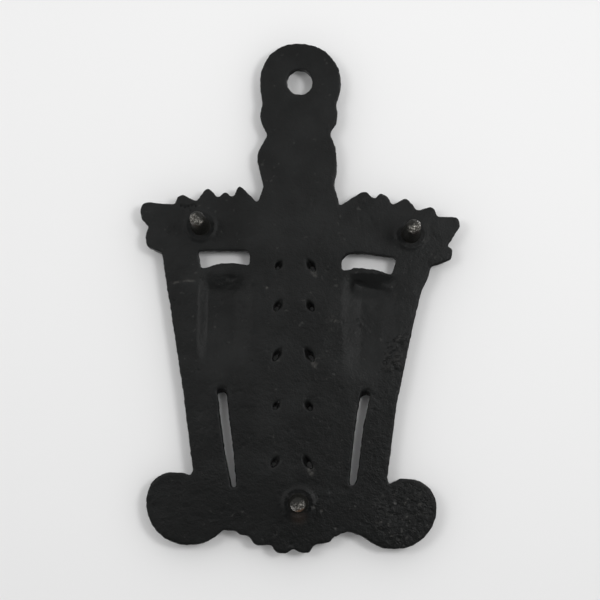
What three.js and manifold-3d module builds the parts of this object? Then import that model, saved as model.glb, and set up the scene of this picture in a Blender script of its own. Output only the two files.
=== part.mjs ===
// A footed cast-iron trivet: a flat openwork casting with a handle and a hanging hole, raised
// wheat-and-tassel decoration on its front face, and three peg feet set in its back face.
//
// Millimetres. It stands on its feet with the decorated face up: +Z up, +Y towards the end of the
// handle, X across. Z = 0 is the surface that it stands on.

import * as THREE from 'three';
import { mergeVertices } from 'three/addons/utils/BufferGeometryUtils.js';
import Module from 'manifold-3d';

const wasm = await Module();
wasm.setup();

// ---------------------------------------------------------------- driving dimensions

const FOOT_HEIGHT = 20;        // floor to the back face
const BASE_THICKNESS = 3.6;    // casting without its decoration
const RELIEF_HEIGHT = 4.4;     // highest decoration above the base
const AXIS_X = 1.6;            // centre line of the stalk and the handle

const HOLE_RADIUS = 5.2;       // hanging hole
const HOLE_CENTRE = [1.0, 85.7];

const RECESS_DEPTH = 1.8;      // hollow behind each tassel
const BOSS_RADIUS = 6.4;       // low seat round each foot
const BOSS_HEIGHT = 0.4;
const FOOT_RADIUS = 4.2;       // at the seat
const FOOT_TIP_RADIUS = 2.7;
const FOOT_FLAT_RADIUS = 1.5;  // worn flat at the tip
const FOOT_TIP_HEIGHT = 1.5;   // from the flat to the full tip radius
const FOOT_FLARE_HEIGHT = 2;   // where the shank widens to the seat
const TENON_RADIUS = 2.2;
const TENON_LENGTH = 2.4;
const FIT_GAP = 0.3;           // round the tenon
const FEET = {
  foot_right: [39.5, 26.4],
  foot_left: [-44.2, 24.5],
  foot_front: [-1.4, -82.4],
};

const CUT_MARGIN = 1;          // a cut runs this far past the face it opens
const SINK = 0.6;              // a raised piece starts this far inside the base
const ARC_TOLERANCE = 0.06;    // largest gap between an arc and its chords
const ARC_REACH = 0.99;        // keeps a short straight between two arcs
const MIN_BEND = 0.3;          // an arc tighter than this gets no more steps

const BACK_Z = FOOT_HEIGHT;
const FACE_Z = BACK_Z + BASE_THICKNESS;
const TOP_Z = FACE_Z + RELIEF_HEIGHT;

// ---------------------------------------------------------------- materials

const PAINTED_IRON = new THREE.MeshStandardMaterial({
  color: 0x242626, roughness: 0.55, metalness: 0.35,
});
const WORN_IRON = new THREE.MeshStandardMaterial({
  color: 0x6b675f, roughness: 0.42, metalness: 0.85,
});

// ---------------------------------------------------------------- solids

// A closed geometry as a manifold solid.
function solid(geometry) {
  geometry.deleteAttribute('normal');
  geometry.deleteAttribute('uv');
  const merged = mergeVertices(geometry, 1e-4);
  return new wasm.Manifold(new wasm.Mesh({
    numProp: 3,
    vertProperties: new Float32Array(merged.attributes.position.array),
    triVerts: new Uint32Array(merged.index.array),
  }));
}

function joined(solids) {
  return solids.reduce((whole, piece) => whole.add(piece));
}

function namedMesh(name, body, material) {
  const { numProp, vertProperties, triVerts } = body.getMesh();
  const positions = new Float32Array(vertProperties.length / numProp * 3);
  for (let i = 0; i < positions.length / 3; i += 1) {
    positions.set(vertProperties.subarray(i * numProp, i * numProp + 3), i * 3);
  }
  const geometry = new THREE.BufferGeometry();
  geometry.setAttribute('position', new THREE.BufferAttribute(positions, 3));
  geometry.setIndex([...triVerts]);
  geometry.computeVertexNormals();
  const mesh = new THREE.Mesh(geometry, material);
  mesh.name = name;
  return mesh;
}

// A closed outline from corners [x, y, radius]: each corner becomes an arc of its radius, or of
// less where two arcs would meet on the edge between them.
function roundedOutline(corners) {
  const vertices = corners.map(([x, y]) => new THREE.Vector2(x, y));
  const at = (i) => vertices[(i + vertices.length) % vertices.length];
  const halfTurns = vertices.map((corner, i) => (
    (Math.PI - at(i - 1).clone().sub(corner).angleTo(at(i + 1).clone().sub(corner))) / 2
  ));
  const wanted = corners.map(([, , radius], i) => radius * Math.tan(halfTurns[i]));
  const share = vertices.map((corner, i) => (
    Math.min(1, corner.distanceTo(at(i + 1)) / (wanted[i] + wanted[(i + 1) % wanted.length]))
  ));
  const points = vertices.map((corner, i) => {
    const reach = wanted[i] * Math.min(share[i], share.at(i - 1)) * ARC_REACH;
    const half = halfTurns[i];
    const bend = reach / Math.tan(half);
    const before = at(i - 1).clone().sub(corner).normalize();
    const after = at(i + 1).clone().sub(corner).normalize();
    const inward = before.clone().add(after).normalize();
    const centre = corner.clone().addScaledVector(inward, bend / Math.cos(half));
    const start = corner.clone().addScaledVector(before, reach);
    const turn = Math.sign(before.cross(after)) * -2 * half;
    const steps = Math.ceil(half / Math.acos(1 - ARC_TOLERANCE / Math.max(bend, MIN_BEND)));
    return Array.from({ length: steps + 1 }, (_, step) => (
      start.clone().rotateAround(centre, turn * step / steps)
    ));
  });
  return new THREE.Shape(points.flat());
}

// An outline made into a slab between two heights.
function slab(shape, bottom, top) {
  const geometry = new THREE.ExtrudeGeometry(shape, { depth: top - bottom, bevelEnabled: false });
  return geometry.translate(0, 0, bottom);
}

// A slab whose upper outline is moved by narrow(x, y), so that its walls slope.
function taperedSlab(shape, bottom, top, narrow) {
  const geometry = slab(shape, bottom, top);
  const position = geometry.attributes.position;
  for (let i = 0; i < position.count; i += 1) {
    if (position.getZ(i) > (bottom + top) / 2) {
      const [x, y] = narrow(position.getX(i), position.getY(i));
      position.setXY(i, x, y);
    }
  }
  return geometry;
}

// Flattens what lies below a raised shape's middle, so that it only just enters the base.
function flattenUnderside(geometry, height) {
  const position = geometry.attributes.position;
  for (let i = 0; i < position.count; i += 1) {
    if (position.getZ(i) < 0) {
      position.setZ(i, position.getZ(i) * SINK / height);
    }
  }
  return geometry;
}

// A raised grain, leaf or bead: half an ellipsoid on the front face, its long side along angle,
// which is measured from +X.
function grain(x, y, angle, length, width, height, sides = 8) {
  const geometry = new THREE.SphereGeometry(1, sides, sides / 2);
  geometry.rotateX(Math.PI / 2);
  geometry.scale(length / 2, width / 2, height);
  geometry.rotateZ(angle);
  return solid(flattenUnderside(geometry, height).translate(x, y, FACE_Z));
}

// The same grain between two points of the front face.
function grainBetween([startX, startY], [endX, endY], width, height) {
  const angle = Math.atan2(endY - startY, endX - startX);
  const length = Math.hypot(endX - startX, endY - startY);
  return grain((startX + endX) / 2, (startY + endY) / 2, angle, length, width, height);
}

// A half-round moulding between two points of the front face.
function moulding([startX, startY], [endX, endY], width, height) {
  const length = Math.hypot(endX - startX, endY - startY);
  const geometry = new THREE.CylinderGeometry(1, 1, length, 8);
  geometry.scale(width / 2, 1, height);
  geometry.rotateZ(Math.atan2(endY - startY, endX - startX) - Math.PI / 2);
  flattenUnderside(geometry, height);
  return solid(geometry.translate((startX + endX) / 2, (startY + endY) / 2, FACE_Z));
}

// A solid of revolution about a vertical axis, from [radius, height] pairs.
function turned(profile, [x, y], segments = 32) {
  const points = profile.map(([radius, height]) => new THREE.Vector2(radius, height));
  const geometry = new THREE.LatheGeometry(points, segments);
  geometry.rotateX(Math.PI / 2);
  return solid(geometry.translate(x, y, 0));
}

// ---------------------------------------------------------------- outline

// Each stretch runs counter-clockwise, seen from above. The two sides differ a little, as they do
// on a casting from a hand-carved pattern.
const HANDLE_LEFT = [
  [-15.5, 101.6, 16.1], [-15.5, 83.0, 9], [-13.6, 76.5, 5], [-14.5, 73.2, 2.5], [-13.9, 69.4, 3],
  [-11.3, 65.0, 2.5], [-13.9, 58.8, 8], [-14.6, 50.0, 7], [-13.2, 43.5, 5], [-15.0, 39.0, 4],
];
const SHOULDER_LEFT = [
  [-15.4, 35.3, 0.6], [-25.8, 41.9, 2.2], [-29.9, 38.1, 1.0], [-31.7, 41.1, 1.0],
  [-34.6, 39.6, 1.5], [-36.7, 36.0, 1.0], [-42.4, 39.4, 1.8], [-46.7, 33.8, 1.2],
  [-52.9, 36.0, 1.6], [-54.7, 31.6, 1.0], [-63.3, 31.7, 2.2], [-63.7, 27.8, 2.0],
  [-58.6, 19.9, 0.6], [-60.9, 18.8, 1.2], [-60.5, 14.6, 2.0],
];
const SIDE_LEFT = [
  [-52.4, 11.7, 1.2], [-51.0, 6.8, 6], [-48.5, 1.5, 12], [-45.9, -10.0, 40], [-39.2, -43.0, 40],
  [-37.5, -58.0, 12], [-35.9, -71.5, 3],
];
const BALL_LEFT = [
  [-36.5, -74.5, 0.6], [-41.0, -72.2, 4], [-55.2, -72.2, 11], [-55.2, -99.2, 16],
  [-33.5, -99.2, 12],
];
const SHELL_EDGE = [
  [-26.0, -94.5, 0.8], [-21.0, -92.8, 2.0], [-15.2, -95.1, 1.2], [-13.9, -97.2, 1.6],
  [-7.6, -98.2, 0.8], [-6.1, -101.3, 1.6], [-2.2, -101.4, 1.5], [0.2, -99.8, 0.9],
  [3.0, -101.7, 1.5], [6.6, -101.7, 1.8], [9.2, -98.6, 0.8], [14.9, -99.0, 2.0],
  [18.1, -95.1, 0.8], [21.2, -95.1, 1.2], [22.6, -93.6, 0.8],
];
const BALL_RIGHT = [
  [27.6, -93.2, 0.8], [34.8, -99.1, 14], [58.0, -99.1, 16.2], [58.0, -71.0, 10],
  [43.5, -71.4, 4],
];
const SIDE_RIGHT = [
  [41.0, -72.6, 0.6], [40.1, -70.2, 1.2], [41.6, -61.0, 10], [44.4, -41.5, 40],
  [50.1, -9.5, 60], [53.4, 8.0, 20], [54.4, 15.0, 0.8],
];
const SHOULDER_RIGHT = [
  [60.9, 18.0, 2.4], [61.4, 23.4, 1.8], [59.9, 25.6, 0.6], [63.4, 29.4, 2.0],
  [63.7, 36.0, 2.6], [49.8, 34.9, 0.8], [49.2, 37.9, 1.0], [46.9, 39.1, 1.2],
  [41.3, 36.2, 1.0], [37.3, 42.6, 1.5], [32.7, 37.7, 0.9], [30.2, 40.7, 1.4],
  [27.0, 37.9, 0.9], [24.3, 43.4, 1.1], [17.1, 36.2, 0.6],
];
const HANDLE_RIGHT = [
  [14.6, 42.8, 5], [17.3, 52.5, 5], [17.3, 56.8, 5], [13.5, 64.2, 2.0], [15.9, 68.2, 4],
  [16.7, 72.0, 4], [15.7, 77.0, 5], [16.9, 83.5, 9], [16.9, 101.6, 14.6],
];

function plateOutline() {
  return roundedOutline([
    ...HANDLE_LEFT, ...SHOULDER_LEFT, ...SIDE_LEFT, ...BALL_LEFT, ...SHELL_EDGE,
    ...BALL_RIGHT, ...SIDE_RIGHT, ...SHOULDER_RIGHT, ...HANDLE_RIGHT,
  ]);
}

// ---------------------------------------------------------------- openings and hollows

// The two wide slots over the tassels, with an arched lower edge.
const WIDE_SLOTS = [
  [[19.6, 10.9, 0.7], [24.0, 11.6, 6], [30.5, 11.8, 8], [39.0, 9.3, 0.8], [40.5, 16.4, 0.8],
    [19.5, 16.8, 2.2]],
  [[-16.9, 9.7, 0.8], [-16.8, 16.4, 4.0], [-26.0, 16.5, 12], [-38.9, 14.8, 1.6],
    [-36.8, 8.0, 0.9], [-31.0, 9.9, 5], [-21.5, 10.8, 1.0], [-20.6, 9.8, 0.5]],
];

// The two long narrow slots that part the fringes.
const LONG_SLOTS = [
  [[31.3, -36.4, 1.0], [27.8, -36.6, 1.0], [25.1, -57.4, 30], [22.9, -76.6, 0.6],
    [24.8, -76.9, 0.6], [27.8, -63.0, 30], [30.1, -50.0, 30]],
  [[-29.1, -36.0, 1.0], [-26.4, -52.0, 30], [-24.1, -73.2, 2], [-22.4, -75.8, 0.6],
    [-21.1, -74.6, 0.6], [-22.9, -54.3, 30], [-25.3, -37.2, 1.2]],
];
const LONG_SLOT_RAMP = 3.4;    // the upper end slopes down by this much
const LONG_SLOT_RAMP_Y = -38;  // what lies above this line slopes

// The leaf-shaped holes on either side of the stalk: height up the stalk, then the length of the
// one to the right and of the one to the left.
const LEAF_HOLES = [
  [11.6, 6.4, 8.6],
  [-4.5, 7.8, 7.6],
  [-23.9, 9.4, 10.4],
  [-44.0, 6.4, 7.0],
  [-66.0, 7.4, 9.6],
];
const LEAF_HOLE_OFFSET = 6.1;
const LEAF_HOLE_WIDTH = 4.2;
const LEAF_HOLE_TILT = 33;     // degrees from the stalk, outwards going down
const LEAF_HOLE_NARROWING = 0.4;
const LEAF_HOLE_DROP = 1.9;    // the throat lies this far below the middle of the mouth
const THROAT_OVERLAP = 0.1;

function wideSlots() {
  return WIDE_SLOTS.map((corners) => (
    solid(slab(roundedOutline(corners), BACK_Z - CUT_MARGIN, TOP_Z + CUT_MARGIN))
  ));
}

// A cut whose walls slope from its mouth in the back to a throat at the face, and then run straight
// through the decoration.
function throatCut(mouth, narrow) {
  const throat = new THREE.Shape(
    mouth.getPoints().map(({ x, y }) => new THREE.Vector2(...narrow(x, y))),
  );
  return solid(taperedSlab(mouth, BACK_Z - CUT_MARGIN, FACE_Z, narrow))
    .add(solid(slab(throat, FACE_Z - THROAT_OVERLAP, TOP_Z + CUT_MARGIN)));
}

function longSlots() {
  return LONG_SLOTS.map((corners) => throatCut(
    roundedOutline(corners),
    (x, y) => [x, y > LONG_SLOT_RAMP_Y ? y - LONG_SLOT_RAMP : y],
  ));
}

function leafHole(side, y, length) {
  const centreX = AXIS_X + side * LEAF_HOLE_OFFSET;
  const eye = roundedOutline([
    [0, -length / 2, 0.6], [LEAF_HOLE_WIDTH / 2, 0, 3], [0, length / 2, 0.6],
    [-LEAF_HOLE_WIDTH / 2, 0, 3],
  ]);
  const hole = throatCut(eye, (eyeX, eyeY) => (
    [eyeX * LEAF_HOLE_NARROWING, eyeY * LEAF_HOLE_NARROWING - LEAF_HOLE_DROP]
  ));
  return hole.rotate([0, 0, side * LEAF_HOLE_TILT]).translate([centreX, y, 0]);
}

function leafHoles() {
  return LEAF_HOLES.flatMap(([y, rightLength, leftLength]) => [
    leafHole(1, y, rightLength),
    leafHole(-1, y, leftLength),
  ]);
}

function hangingHole() {
  const bottom = BACK_Z - CUT_MARGIN;
  const top = TOP_Z + CUT_MARGIN;
  return turned([[0, bottom], [HOLE_RADIUS, bottom], [HOLE_RADIUS, top], [0, top]], HOLE_CENTRE);
}

// The hollow behind a tassel: domed at the top, with gentle walls and a long ramp at its lower end.
const HOLLOW_TOP = 9.0;
const HOLLOW_BOTTOM = -31;
const HOLLOW_CENTRE_X = 28.6;
const HOLLOW_HALF_WIDTH = 11;
const HOLLOW_RIGHT_WALL = 3.6;
const HOLLOW_LEFT_WALL = 6.0;
const HOLLOW_TOP_WALL = 3.0;
const HOLLOW_RAMP = 15;

function tasselHollow(side) {
  const across = (offset) => (HOLLOW_CENTRE_X + offset) * side;
  const mouth = roundedOutline([
    [across(-HOLLOW_HALF_WIDTH - 0.6), HOLLOW_BOTTOM, 4],
    [across(HOLLOW_HALF_WIDTH - 0.9), HOLLOW_BOTTOM, 4],
    [across(HOLLOW_HALF_WIDTH), HOLLOW_TOP - 4, 3],
    [across(HOLLOW_HALF_WIDTH - 5), HOLLOW_TOP, 7],
    [across(5 - HOLLOW_HALF_WIDTH), HOLLOW_TOP, 7],
    [across(-HOLLOW_HALF_WIDTH), HOLLOW_TOP - 3, 3],
  ]);
  const rightScale = 1 - HOLLOW_RIGHT_WALL / HOLLOW_HALF_WIDTH;
  const leftScale = 1 - HOLLOW_LEFT_WALL / HOLLOW_HALF_WIDTH;
  const middleX = across(0);
  const middleY = (HOLLOW_TOP + HOLLOW_BOTTOM) / 2;
  const bottom = BACK_Z - CUT_MARGIN;
  return solid(taperedSlab(mouth, bottom, BACK_Z + RECESS_DEPTH, (x, y) => [
    middleX + (x - middleX) * (x > middleX ? rightScale : leftScale),
    y > middleY ? y - HOLLOW_TOP_WALL : y + HOLLOW_RAMP,
  ]));
}

function footSockets() {
  const bottom = BACK_Z - BOSS_HEIGHT - CUT_MARGIN;
  const top = BACK_Z - BOSS_HEIGHT + TENON_LENGTH + FIT_GAP;
  const radius = TENON_RADIUS + FIT_GAP;
  return Object.values(FEET).map((place) => (
    turned([[0, bottom], [radius, bottom], [radius, top], [0, top]], place)
  ));
}

function footBosses() {
  const seat = BACK_Z - BOSS_HEIGHT;
  return Object.values(FEET).map((place) => turned([
    [0, seat], [BOSS_RADIUS - BOSS_HEIGHT, seat], [BOSS_RADIUS, BACK_Z], [BOSS_RADIUS, BACK_Z + SINK],
    [0, BACK_Z + SINK],
  ], place));
}

// ---------------------------------------------------------------- decoration of the front face

// A row of grains along each shoulder. Each is [base x, base y, tip x, tip y]: the upper ones end
// in the points of the outline.
const SHOULDER_GRAINS_RIGHT = [
  [17.5, 30.0, 23.6, 41.2], [24.5, 29.5, 29.9, 38.6], [30.5, 29.0, 36.6, 40.4],
  [38.5, 28.5, 46.6, 37.6], [46.5, 28.5, 61.8, 34.0], [46.5, 26.5, 59.6, 19.6],
  [19.0, 26.5, 26.0, 18.6], [26.5, 26.5, 33.5, 18.4], [34.5, 26.5, 42.0, 18.2],
  [42.0, 26.0, 50.6, 17.6],
];
const SHOULDER_GRAINS_LEFT = [
  [-16.0, 29.5, -25.0, 40.0], [-25.0, 29.0, -32.6, 39.2], [-33.0, 28.5, -41.6, 37.8],
  [-41.0, 27.5, -51.9, 34.5], [-47.5, 26.0, -61.8, 29.6], [-47.5, 24.5, -59.2, 16.6],
  [-17.5, 26.0, -24.5, 18.4], [-25.0, 25.5, -32.5, 18.0], [-33.0, 25.0, -41.0, 17.4],
  [-41.0, 24.0, -49.6, 15.8],
];
const GRAIN_WIDTH = 5.6;
const GRAIN_HEIGHT = 2.8;
const SHOULDER_STEM_RIGHT = [[9.6, 28.0], [50, 27.4]];
const SHOULDER_STEM_LEFT = [[-6.4, 27.8], [-50, 25.0]];
const SHOULDER_STEM_WIDTH = 2.4;
const SHOULDER_STEM_HEIGHT = 3.0;

function shoulderEars() {
  const grains = [...SHOULDER_GRAINS_RIGHT, ...SHOULDER_GRAINS_LEFT];
  return [
    ...grains.map(([baseX, baseY, tipX, tipY]) => (
      grainBetween([baseX, baseY], [tipX, tipY], GRAIN_WIDTH, GRAIN_HEIGHT)
    )),
    moulding(...SHOULDER_STEM_RIGHT, SHOULDER_STEM_WIDTH, SHOULDER_STEM_HEIGHT),
    moulding(...SHOULDER_STEM_LEFT, SHOULDER_STEM_WIDTH, SHOULDER_STEM_HEIGHT),
  ];
}

// The stalk with pairs of leaves between the holes.
const STALK_TOP = 24;
const STALK_BOTTOM = -70;
const LEAF_ROWS = [20, 3.5, -14, -34, -55];
const LEAF_LENGTH = 12.5;
const LEAF_WIDTH = 5.6;
const LEAF_HEIGHT = 2.9;
const LEAF_LEAN = 0.8;         // from the stalk
const STALK_WIDTH = 3.4;
const STALK_HEIGHT = 2.6;

function stalk() {
  const leaves = LEAF_ROWS.flatMap((y) => [1, -1].map((side) => {
    const reach = side * LEAF_LENGTH * Math.sin(LEAF_LEAN);
    const drop = LEAF_LENGTH * Math.cos(LEAF_LEAN);
    return grainBetween([AXIS_X, y], [AXIS_X + reach, y - drop], LEAF_WIDTH, LEAF_HEIGHT);
  }));
  return [
    moulding([AXIS_X, STALK_BOTTOM], [AXIS_X, STALK_TOP], STALK_WIDTH, STALK_HEIGHT),
    ...leaves,
  ];
}

// A tassel hangs from the arch over each hollow: domed cap, collar, and a fringe of reeds that
// draws in a little towards its lower end.
const TASSEL_X = 29;
const TASSEL_FOOT_X = 25;
const CAP_Y = 2;
const CAP_LENGTH = 21;
const CAP_WIDTH = 17;
const CAP_HEIGHT = 3.9;
const CAP_SIDES = 12;
const COLLAR_Y = -6.5;
const COLLAR_REACH = 10.5;
const COLLAR_WIDTH = 3.6;
const COLLAR_HEIGHT = 3.6;
const FRINGE_TOP = -8;
const FRINGE_BOTTOM = -84;
const FRINGE_TOP_WIDTH = 20;
const FRINGE_BOTTOM_WIDTH = 17;
const REEDS = 7;
const REED_OVERLAP = 1.15;     // reeds are this much wider than their spacing
const REED_HEIGHT = 2.4;

function tassel(side) {
  const centre = AXIS_X / 2;
  const topX = centre + side * (TASSEL_X - centre);
  const footX = centre + side * (TASSEL_FOOT_X - centre);
  const pieces = [
    grain(topX, CAP_Y, 0, CAP_LENGTH, CAP_WIDTH, CAP_HEIGHT, CAP_SIDES),
    moulding(
      [topX - COLLAR_REACH, COLLAR_Y],
      [topX + COLLAR_REACH, COLLAR_Y],
      COLLAR_WIDTH,
      COLLAR_HEIGHT,
    ),
  ];
  for (let reed = 0; reed < REEDS; reed += 1) {
    const across = (reed + 0.5) / REEDS - 0.5;
    pieces.push(moulding(
      [topX + across * FRINGE_TOP_WIDTH, FRINGE_TOP],
      [footX + across * FRINGE_BOTTOM_WIDTH, FRINGE_BOTTOM],
      FRINGE_TOP_WIDTH / REEDS * REED_OVERLAP,
      REED_HEIGHT,
    ));
  }
  return pieces;
}

// A rope moulding down each side: slanted beads that overlap.
const ROPE_RIGHT = [[50.0, 12.0], [36.9, -66.0]];
const ROPE_LEFT = [[-45.0, 6.0], [-31.4, -68.0]];
const ROPE_BEADS = 15;
const ROPE_SLANT = 0.7;
const BEAD_LENGTH = 7.0;
const BEAD_WIDTH = 4.8;
const BEAD_HEIGHT = 2.4;

function rope([[topX, topY], [footX, footY]], side) {
  const beads = [];
  for (let bead = 0; bead < ROPE_BEADS; bead += 1) {
    const along = bead / (ROPE_BEADS - 1);
    const x = topX + (footX - topX) * along;
    const y = topY + (footY - topY) * along;
    beads.push(grain(x, y, side * ROPE_SLANT, BEAD_LENGTH, BEAD_WIDTH, BEAD_HEIGHT));
  }
  return beads;
}

// A rosette on each round end: a dish, petals, and a flat button that a pan rests on.
const ROSETTES = [[42.6, -84.6], [-40.2, -85.6]];
const PETALS = 8;
const PETAL_REACH = 7.2;
const PETAL_LENGTH = 9.4;
const PETAL_WIDTH = 5.2;
const PETAL_HEIGHT = 3.0;
const DISH_LENGTH = 25;
const DISH_WIDTH = 24;
const DISH_HEIGHT = 1.2;
const DISH_SIDES = 16;
const BUTTON_RADIUS = 3.6;
const BUTTON_DRAFT = 0.8;
const BUTTON_SEGMENTS = 24;

function button(place) {
  const bottom = FACE_Z - SINK;
  return turned([
    [0, bottom], [BUTTON_RADIUS + BUTTON_DRAFT, bottom], [BUTTON_RADIUS, TOP_Z], [0, TOP_Z],
  ], place, BUTTON_SEGMENTS);
}

function rosette([x, y]) {
  const pieces = [
    grain(x, y, 0, DISH_LENGTH, DISH_WIDTH, DISH_HEIGHT, DISH_SIDES),
    button([x, y]),
  ];
  for (let petal = 0; petal < PETALS; petal += 1) {
    const angle = 2 * Math.PI * petal / PETALS;
    const petalX = x + PETAL_REACH * Math.cos(angle);
    const petalY = y + PETAL_REACH * Math.sin(angle);
    pieces.push(grain(petalX, petalY, angle, PETAL_LENGTH, PETAL_WIDTH, PETAL_HEIGHT));
  }
  return pieces;
}

// A fan of ribs that end in the scallops of the lower edge.
const FAN_HUB = [AXIS_X - 0.4, -76];
const FAN_TIPS = [
  [-16.6, -90.2], [-10.4, -95.2], [-3.8, -98.8], [4.8, -99.2], [12.2, -96.0], [18.4, -91.4],
];
const RIB_WIDTH = 5.6;
const RIB_HEIGHT = 3.0;
const HUB_LENGTH = 12;
const HUB_WIDTH = 9;
const HUB_HEIGHT = 3.8;

function fan() {
  return [
    ...FAN_TIPS.map((tip) => grainBetween(FAN_HUB, tip, RIB_WIDTH, RIB_HEIGHT)),
    grain(...FAN_HUB, 0, HUB_LENGTH, HUB_WIDTH, HUB_HEIGHT),
  ];
}

// The handle: a ring round the hole, a boss below it, two bands with reeds between them, and a
// button in a low dish where the handle meets the shoulders.
const RING_INNER = 1.6;        // out from the hole's edge
const RING_WIDTH = 4.0;
const RING_HEIGHT = 2.1;
const RING_SEGMENTS = 28;
const HANDLE_BANDS = [64.6, 43.2];
const BAND_REACH = 10;
const BAND_WIDTH = 3.6;
const BAND_HEIGHT = 2.6;
const HANDLE_REEDS = [-6, 0, 6];
const HANDLE_REED_ENDS = [63, 45];
const HANDLE_REED_WIDTH = 5.0;
const HANDLE_REED_HEIGHT = 2.4;
const HANDLE_BOSS = { y: 71.6, length: 17, width: 8, height: 2.4 };
const HANDLE_DISH = { y: 31.5, length: 17, width: 15, height: 2.4 };

function holeRing() {
  const inner = HOLE_RADIUS + RING_INNER;
  const bottom = FACE_Z - SINK;
  const shoulder = FACE_Z + RING_HEIGHT * 0.7;
  return turned([
    [inner, bottom], [inner + RING_WIDTH, bottom], [inner + RING_WIDTH * 0.8, shoulder],
    [inner + RING_WIDTH * 0.5, FACE_Z + RING_HEIGHT], [inner + RING_WIDTH * 0.2, shoulder],
    [inner, bottom],
  ], HOLE_CENTRE, RING_SEGMENTS);
}

function handleRelief() {
  const [reedTop, reedBottom] = HANDLE_REED_ENDS;
  return [
    holeRing(),
    ...HANDLE_BANDS.map((y) => (
      moulding([AXIS_X - BAND_REACH, y], [AXIS_X + BAND_REACH, y], BAND_WIDTH, BAND_HEIGHT)
    )),
    ...HANDLE_REEDS.map((x) => grainBetween(
      [AXIS_X + x, reedTop],
      [AXIS_X + x, reedBottom],
      HANDLE_REED_WIDTH,
      HANDLE_REED_HEIGHT,
    )),
    ...[HANDLE_BOSS, HANDLE_DISH].map(({ y, length, width, height }) => (
      grain(AXIS_X, y, 0, length, width, height)
    )),
    button([AXIS_X, HANDLE_DISH.y]),
  ];
}

// ---------------------------------------------------------------- pieces

function plate() {
  const casting = joined([
    solid(slab(plateOutline(), BACK_Z, FACE_Z)),
    ...footBosses(),
    ...shoulderEars(),
    ...stalk(),
    ...tassel(1),
    ...tassel(-1),
    ...rope(ROPE_RIGHT, 1),
    ...rope(ROPE_LEFT, -1),
    ...ROSETTES.flatMap(rosette),
    ...fan(),
    ...handleRelief(),
  ]);
  const openings = joined([
    hangingHole(),
    ...wideSlots(),
    ...longSlots(),
    ...leafHoles(),
    tasselHollow(1),
    tasselHollow(-1),
    ...footSockets(),
  ]);
  return namedMesh('plate', casting.subtract(openings), PAINTED_IRON);
}

function foot(name, place) {
  const seat = BACK_Z - BOSS_HEIGHT;
  const peg = turned([
    [0, 0],
    [FOOT_FLAT_RADIUS, 0],
    [FOOT_TIP_RADIUS * 0.86, FOOT_TIP_HEIGHT / 3],
    [FOOT_TIP_RADIUS, FOOT_TIP_HEIGHT],
    [FOOT_RADIUS * 0.88, seat - FOOT_FLARE_HEIGHT],
    [FOOT_RADIUS, seat],
    [TENON_RADIUS, seat],
    [TENON_RADIUS, seat + TENON_LENGTH],
    [0, seat + TENON_LENGTH],
  ], place);
  return namedMesh(name, peg, WORN_IRON);
}

const trivet = new THREE.Group();
trivet.add(plate());
for (const [name, place] of Object.entries(FEET)) {
  trivet.add(foot(name, place));
}

const box = new THREE.Box3().setFromObject(trivet);
const centre = box.getCenter(new THREE.Vector3());
trivet.position.set(-centre.x, -centre.y, 0);

export default trivet;
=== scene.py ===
"""The looks of a footed cast-iron trivet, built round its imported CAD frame.

The trivet stands on its three feet, decorated face up. The camera looks up at its back face from
below, along the feet, so the floor shows only from above and the backdrop only from below.
Shapes are worked out in millimetres, as in the CAD model, and become metres in make_object() and
set_points().
"""

import math

import bmesh
import bpy
import numpy as np
from mathutils import Matrix, Vector, noise
from mathutils.kdtree import KDTree


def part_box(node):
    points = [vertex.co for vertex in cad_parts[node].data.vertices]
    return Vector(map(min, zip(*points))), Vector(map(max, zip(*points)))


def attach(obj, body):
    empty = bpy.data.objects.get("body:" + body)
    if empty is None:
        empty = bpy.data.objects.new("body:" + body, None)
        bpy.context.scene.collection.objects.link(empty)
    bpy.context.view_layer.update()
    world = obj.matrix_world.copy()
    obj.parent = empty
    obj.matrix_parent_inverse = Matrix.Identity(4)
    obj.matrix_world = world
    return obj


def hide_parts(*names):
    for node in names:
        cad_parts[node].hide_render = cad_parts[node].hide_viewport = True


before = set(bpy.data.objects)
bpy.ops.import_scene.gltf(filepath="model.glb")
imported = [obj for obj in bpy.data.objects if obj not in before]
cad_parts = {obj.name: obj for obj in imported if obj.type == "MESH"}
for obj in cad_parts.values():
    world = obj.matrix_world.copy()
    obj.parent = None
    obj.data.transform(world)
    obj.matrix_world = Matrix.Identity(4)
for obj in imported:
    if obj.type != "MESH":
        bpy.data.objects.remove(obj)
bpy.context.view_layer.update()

MM = 0.001
FEET = ("foot_right", "foot_left", "foot_front")

# ---- places, in millimetres


def node_box(name):
    """A CAD node's lowest and highest corners, in millimetres."""
    low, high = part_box(name)
    return np.array(low) / MM, np.array(high) / MM


def node_middle(name):
    low, high = node_box(name)
    return (low + high) / 2


BOSS_HEIGHT = 0.4
BACK_Z = node_box("plate")[0][2] + BOSS_HEIGHT
TOP_Z = node_box("plate")[1][2]
BASE_THICKNESS = 3.6
FACE_Z = BACK_Z + BASE_THICKNESS

# ---- mesh helpers


def in_scene(name, data):
    """A new object in the scene, from a mesh, a light or a camera."""
    obj = bpy.data.objects.new(name, data)
    bpy.context.scene.collection.objects.link(obj)
    return obj


def make_object(name, points, faces):
    """A new object from points in millimetres."""
    mesh = bpy.data.meshes.new(name)
    mesh.from_pydata([tuple(p) for p in np.asarray(points) * MM], [], faces)
    return in_scene(name, mesh)


def points_of(obj):
    """An object's vertices, in millimetres."""
    points = np.empty(len(obj.data.vertices) * 3)
    obj.data.vertices.foreach_get("co", points)
    return points.reshape(-1, 3) / MM


def set_points(obj, points):
    obj.data.vertices.foreach_set("co", (points * MM).ravel())
    obj.data.update()


def normals_of(obj):
    normals = np.empty(len(obj.data.vertices) * 3)
    obj.data.vertex_normals.foreach_get("vector", normals)
    return normals.reshape(-1, 3)


def edges_of(obj):
    edges = np.empty(len(obj.data.edges) * 2, np.int64)
    obj.data.edges.foreach_get("vertices", edges)
    return edges.reshape(-1, 2)


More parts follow.
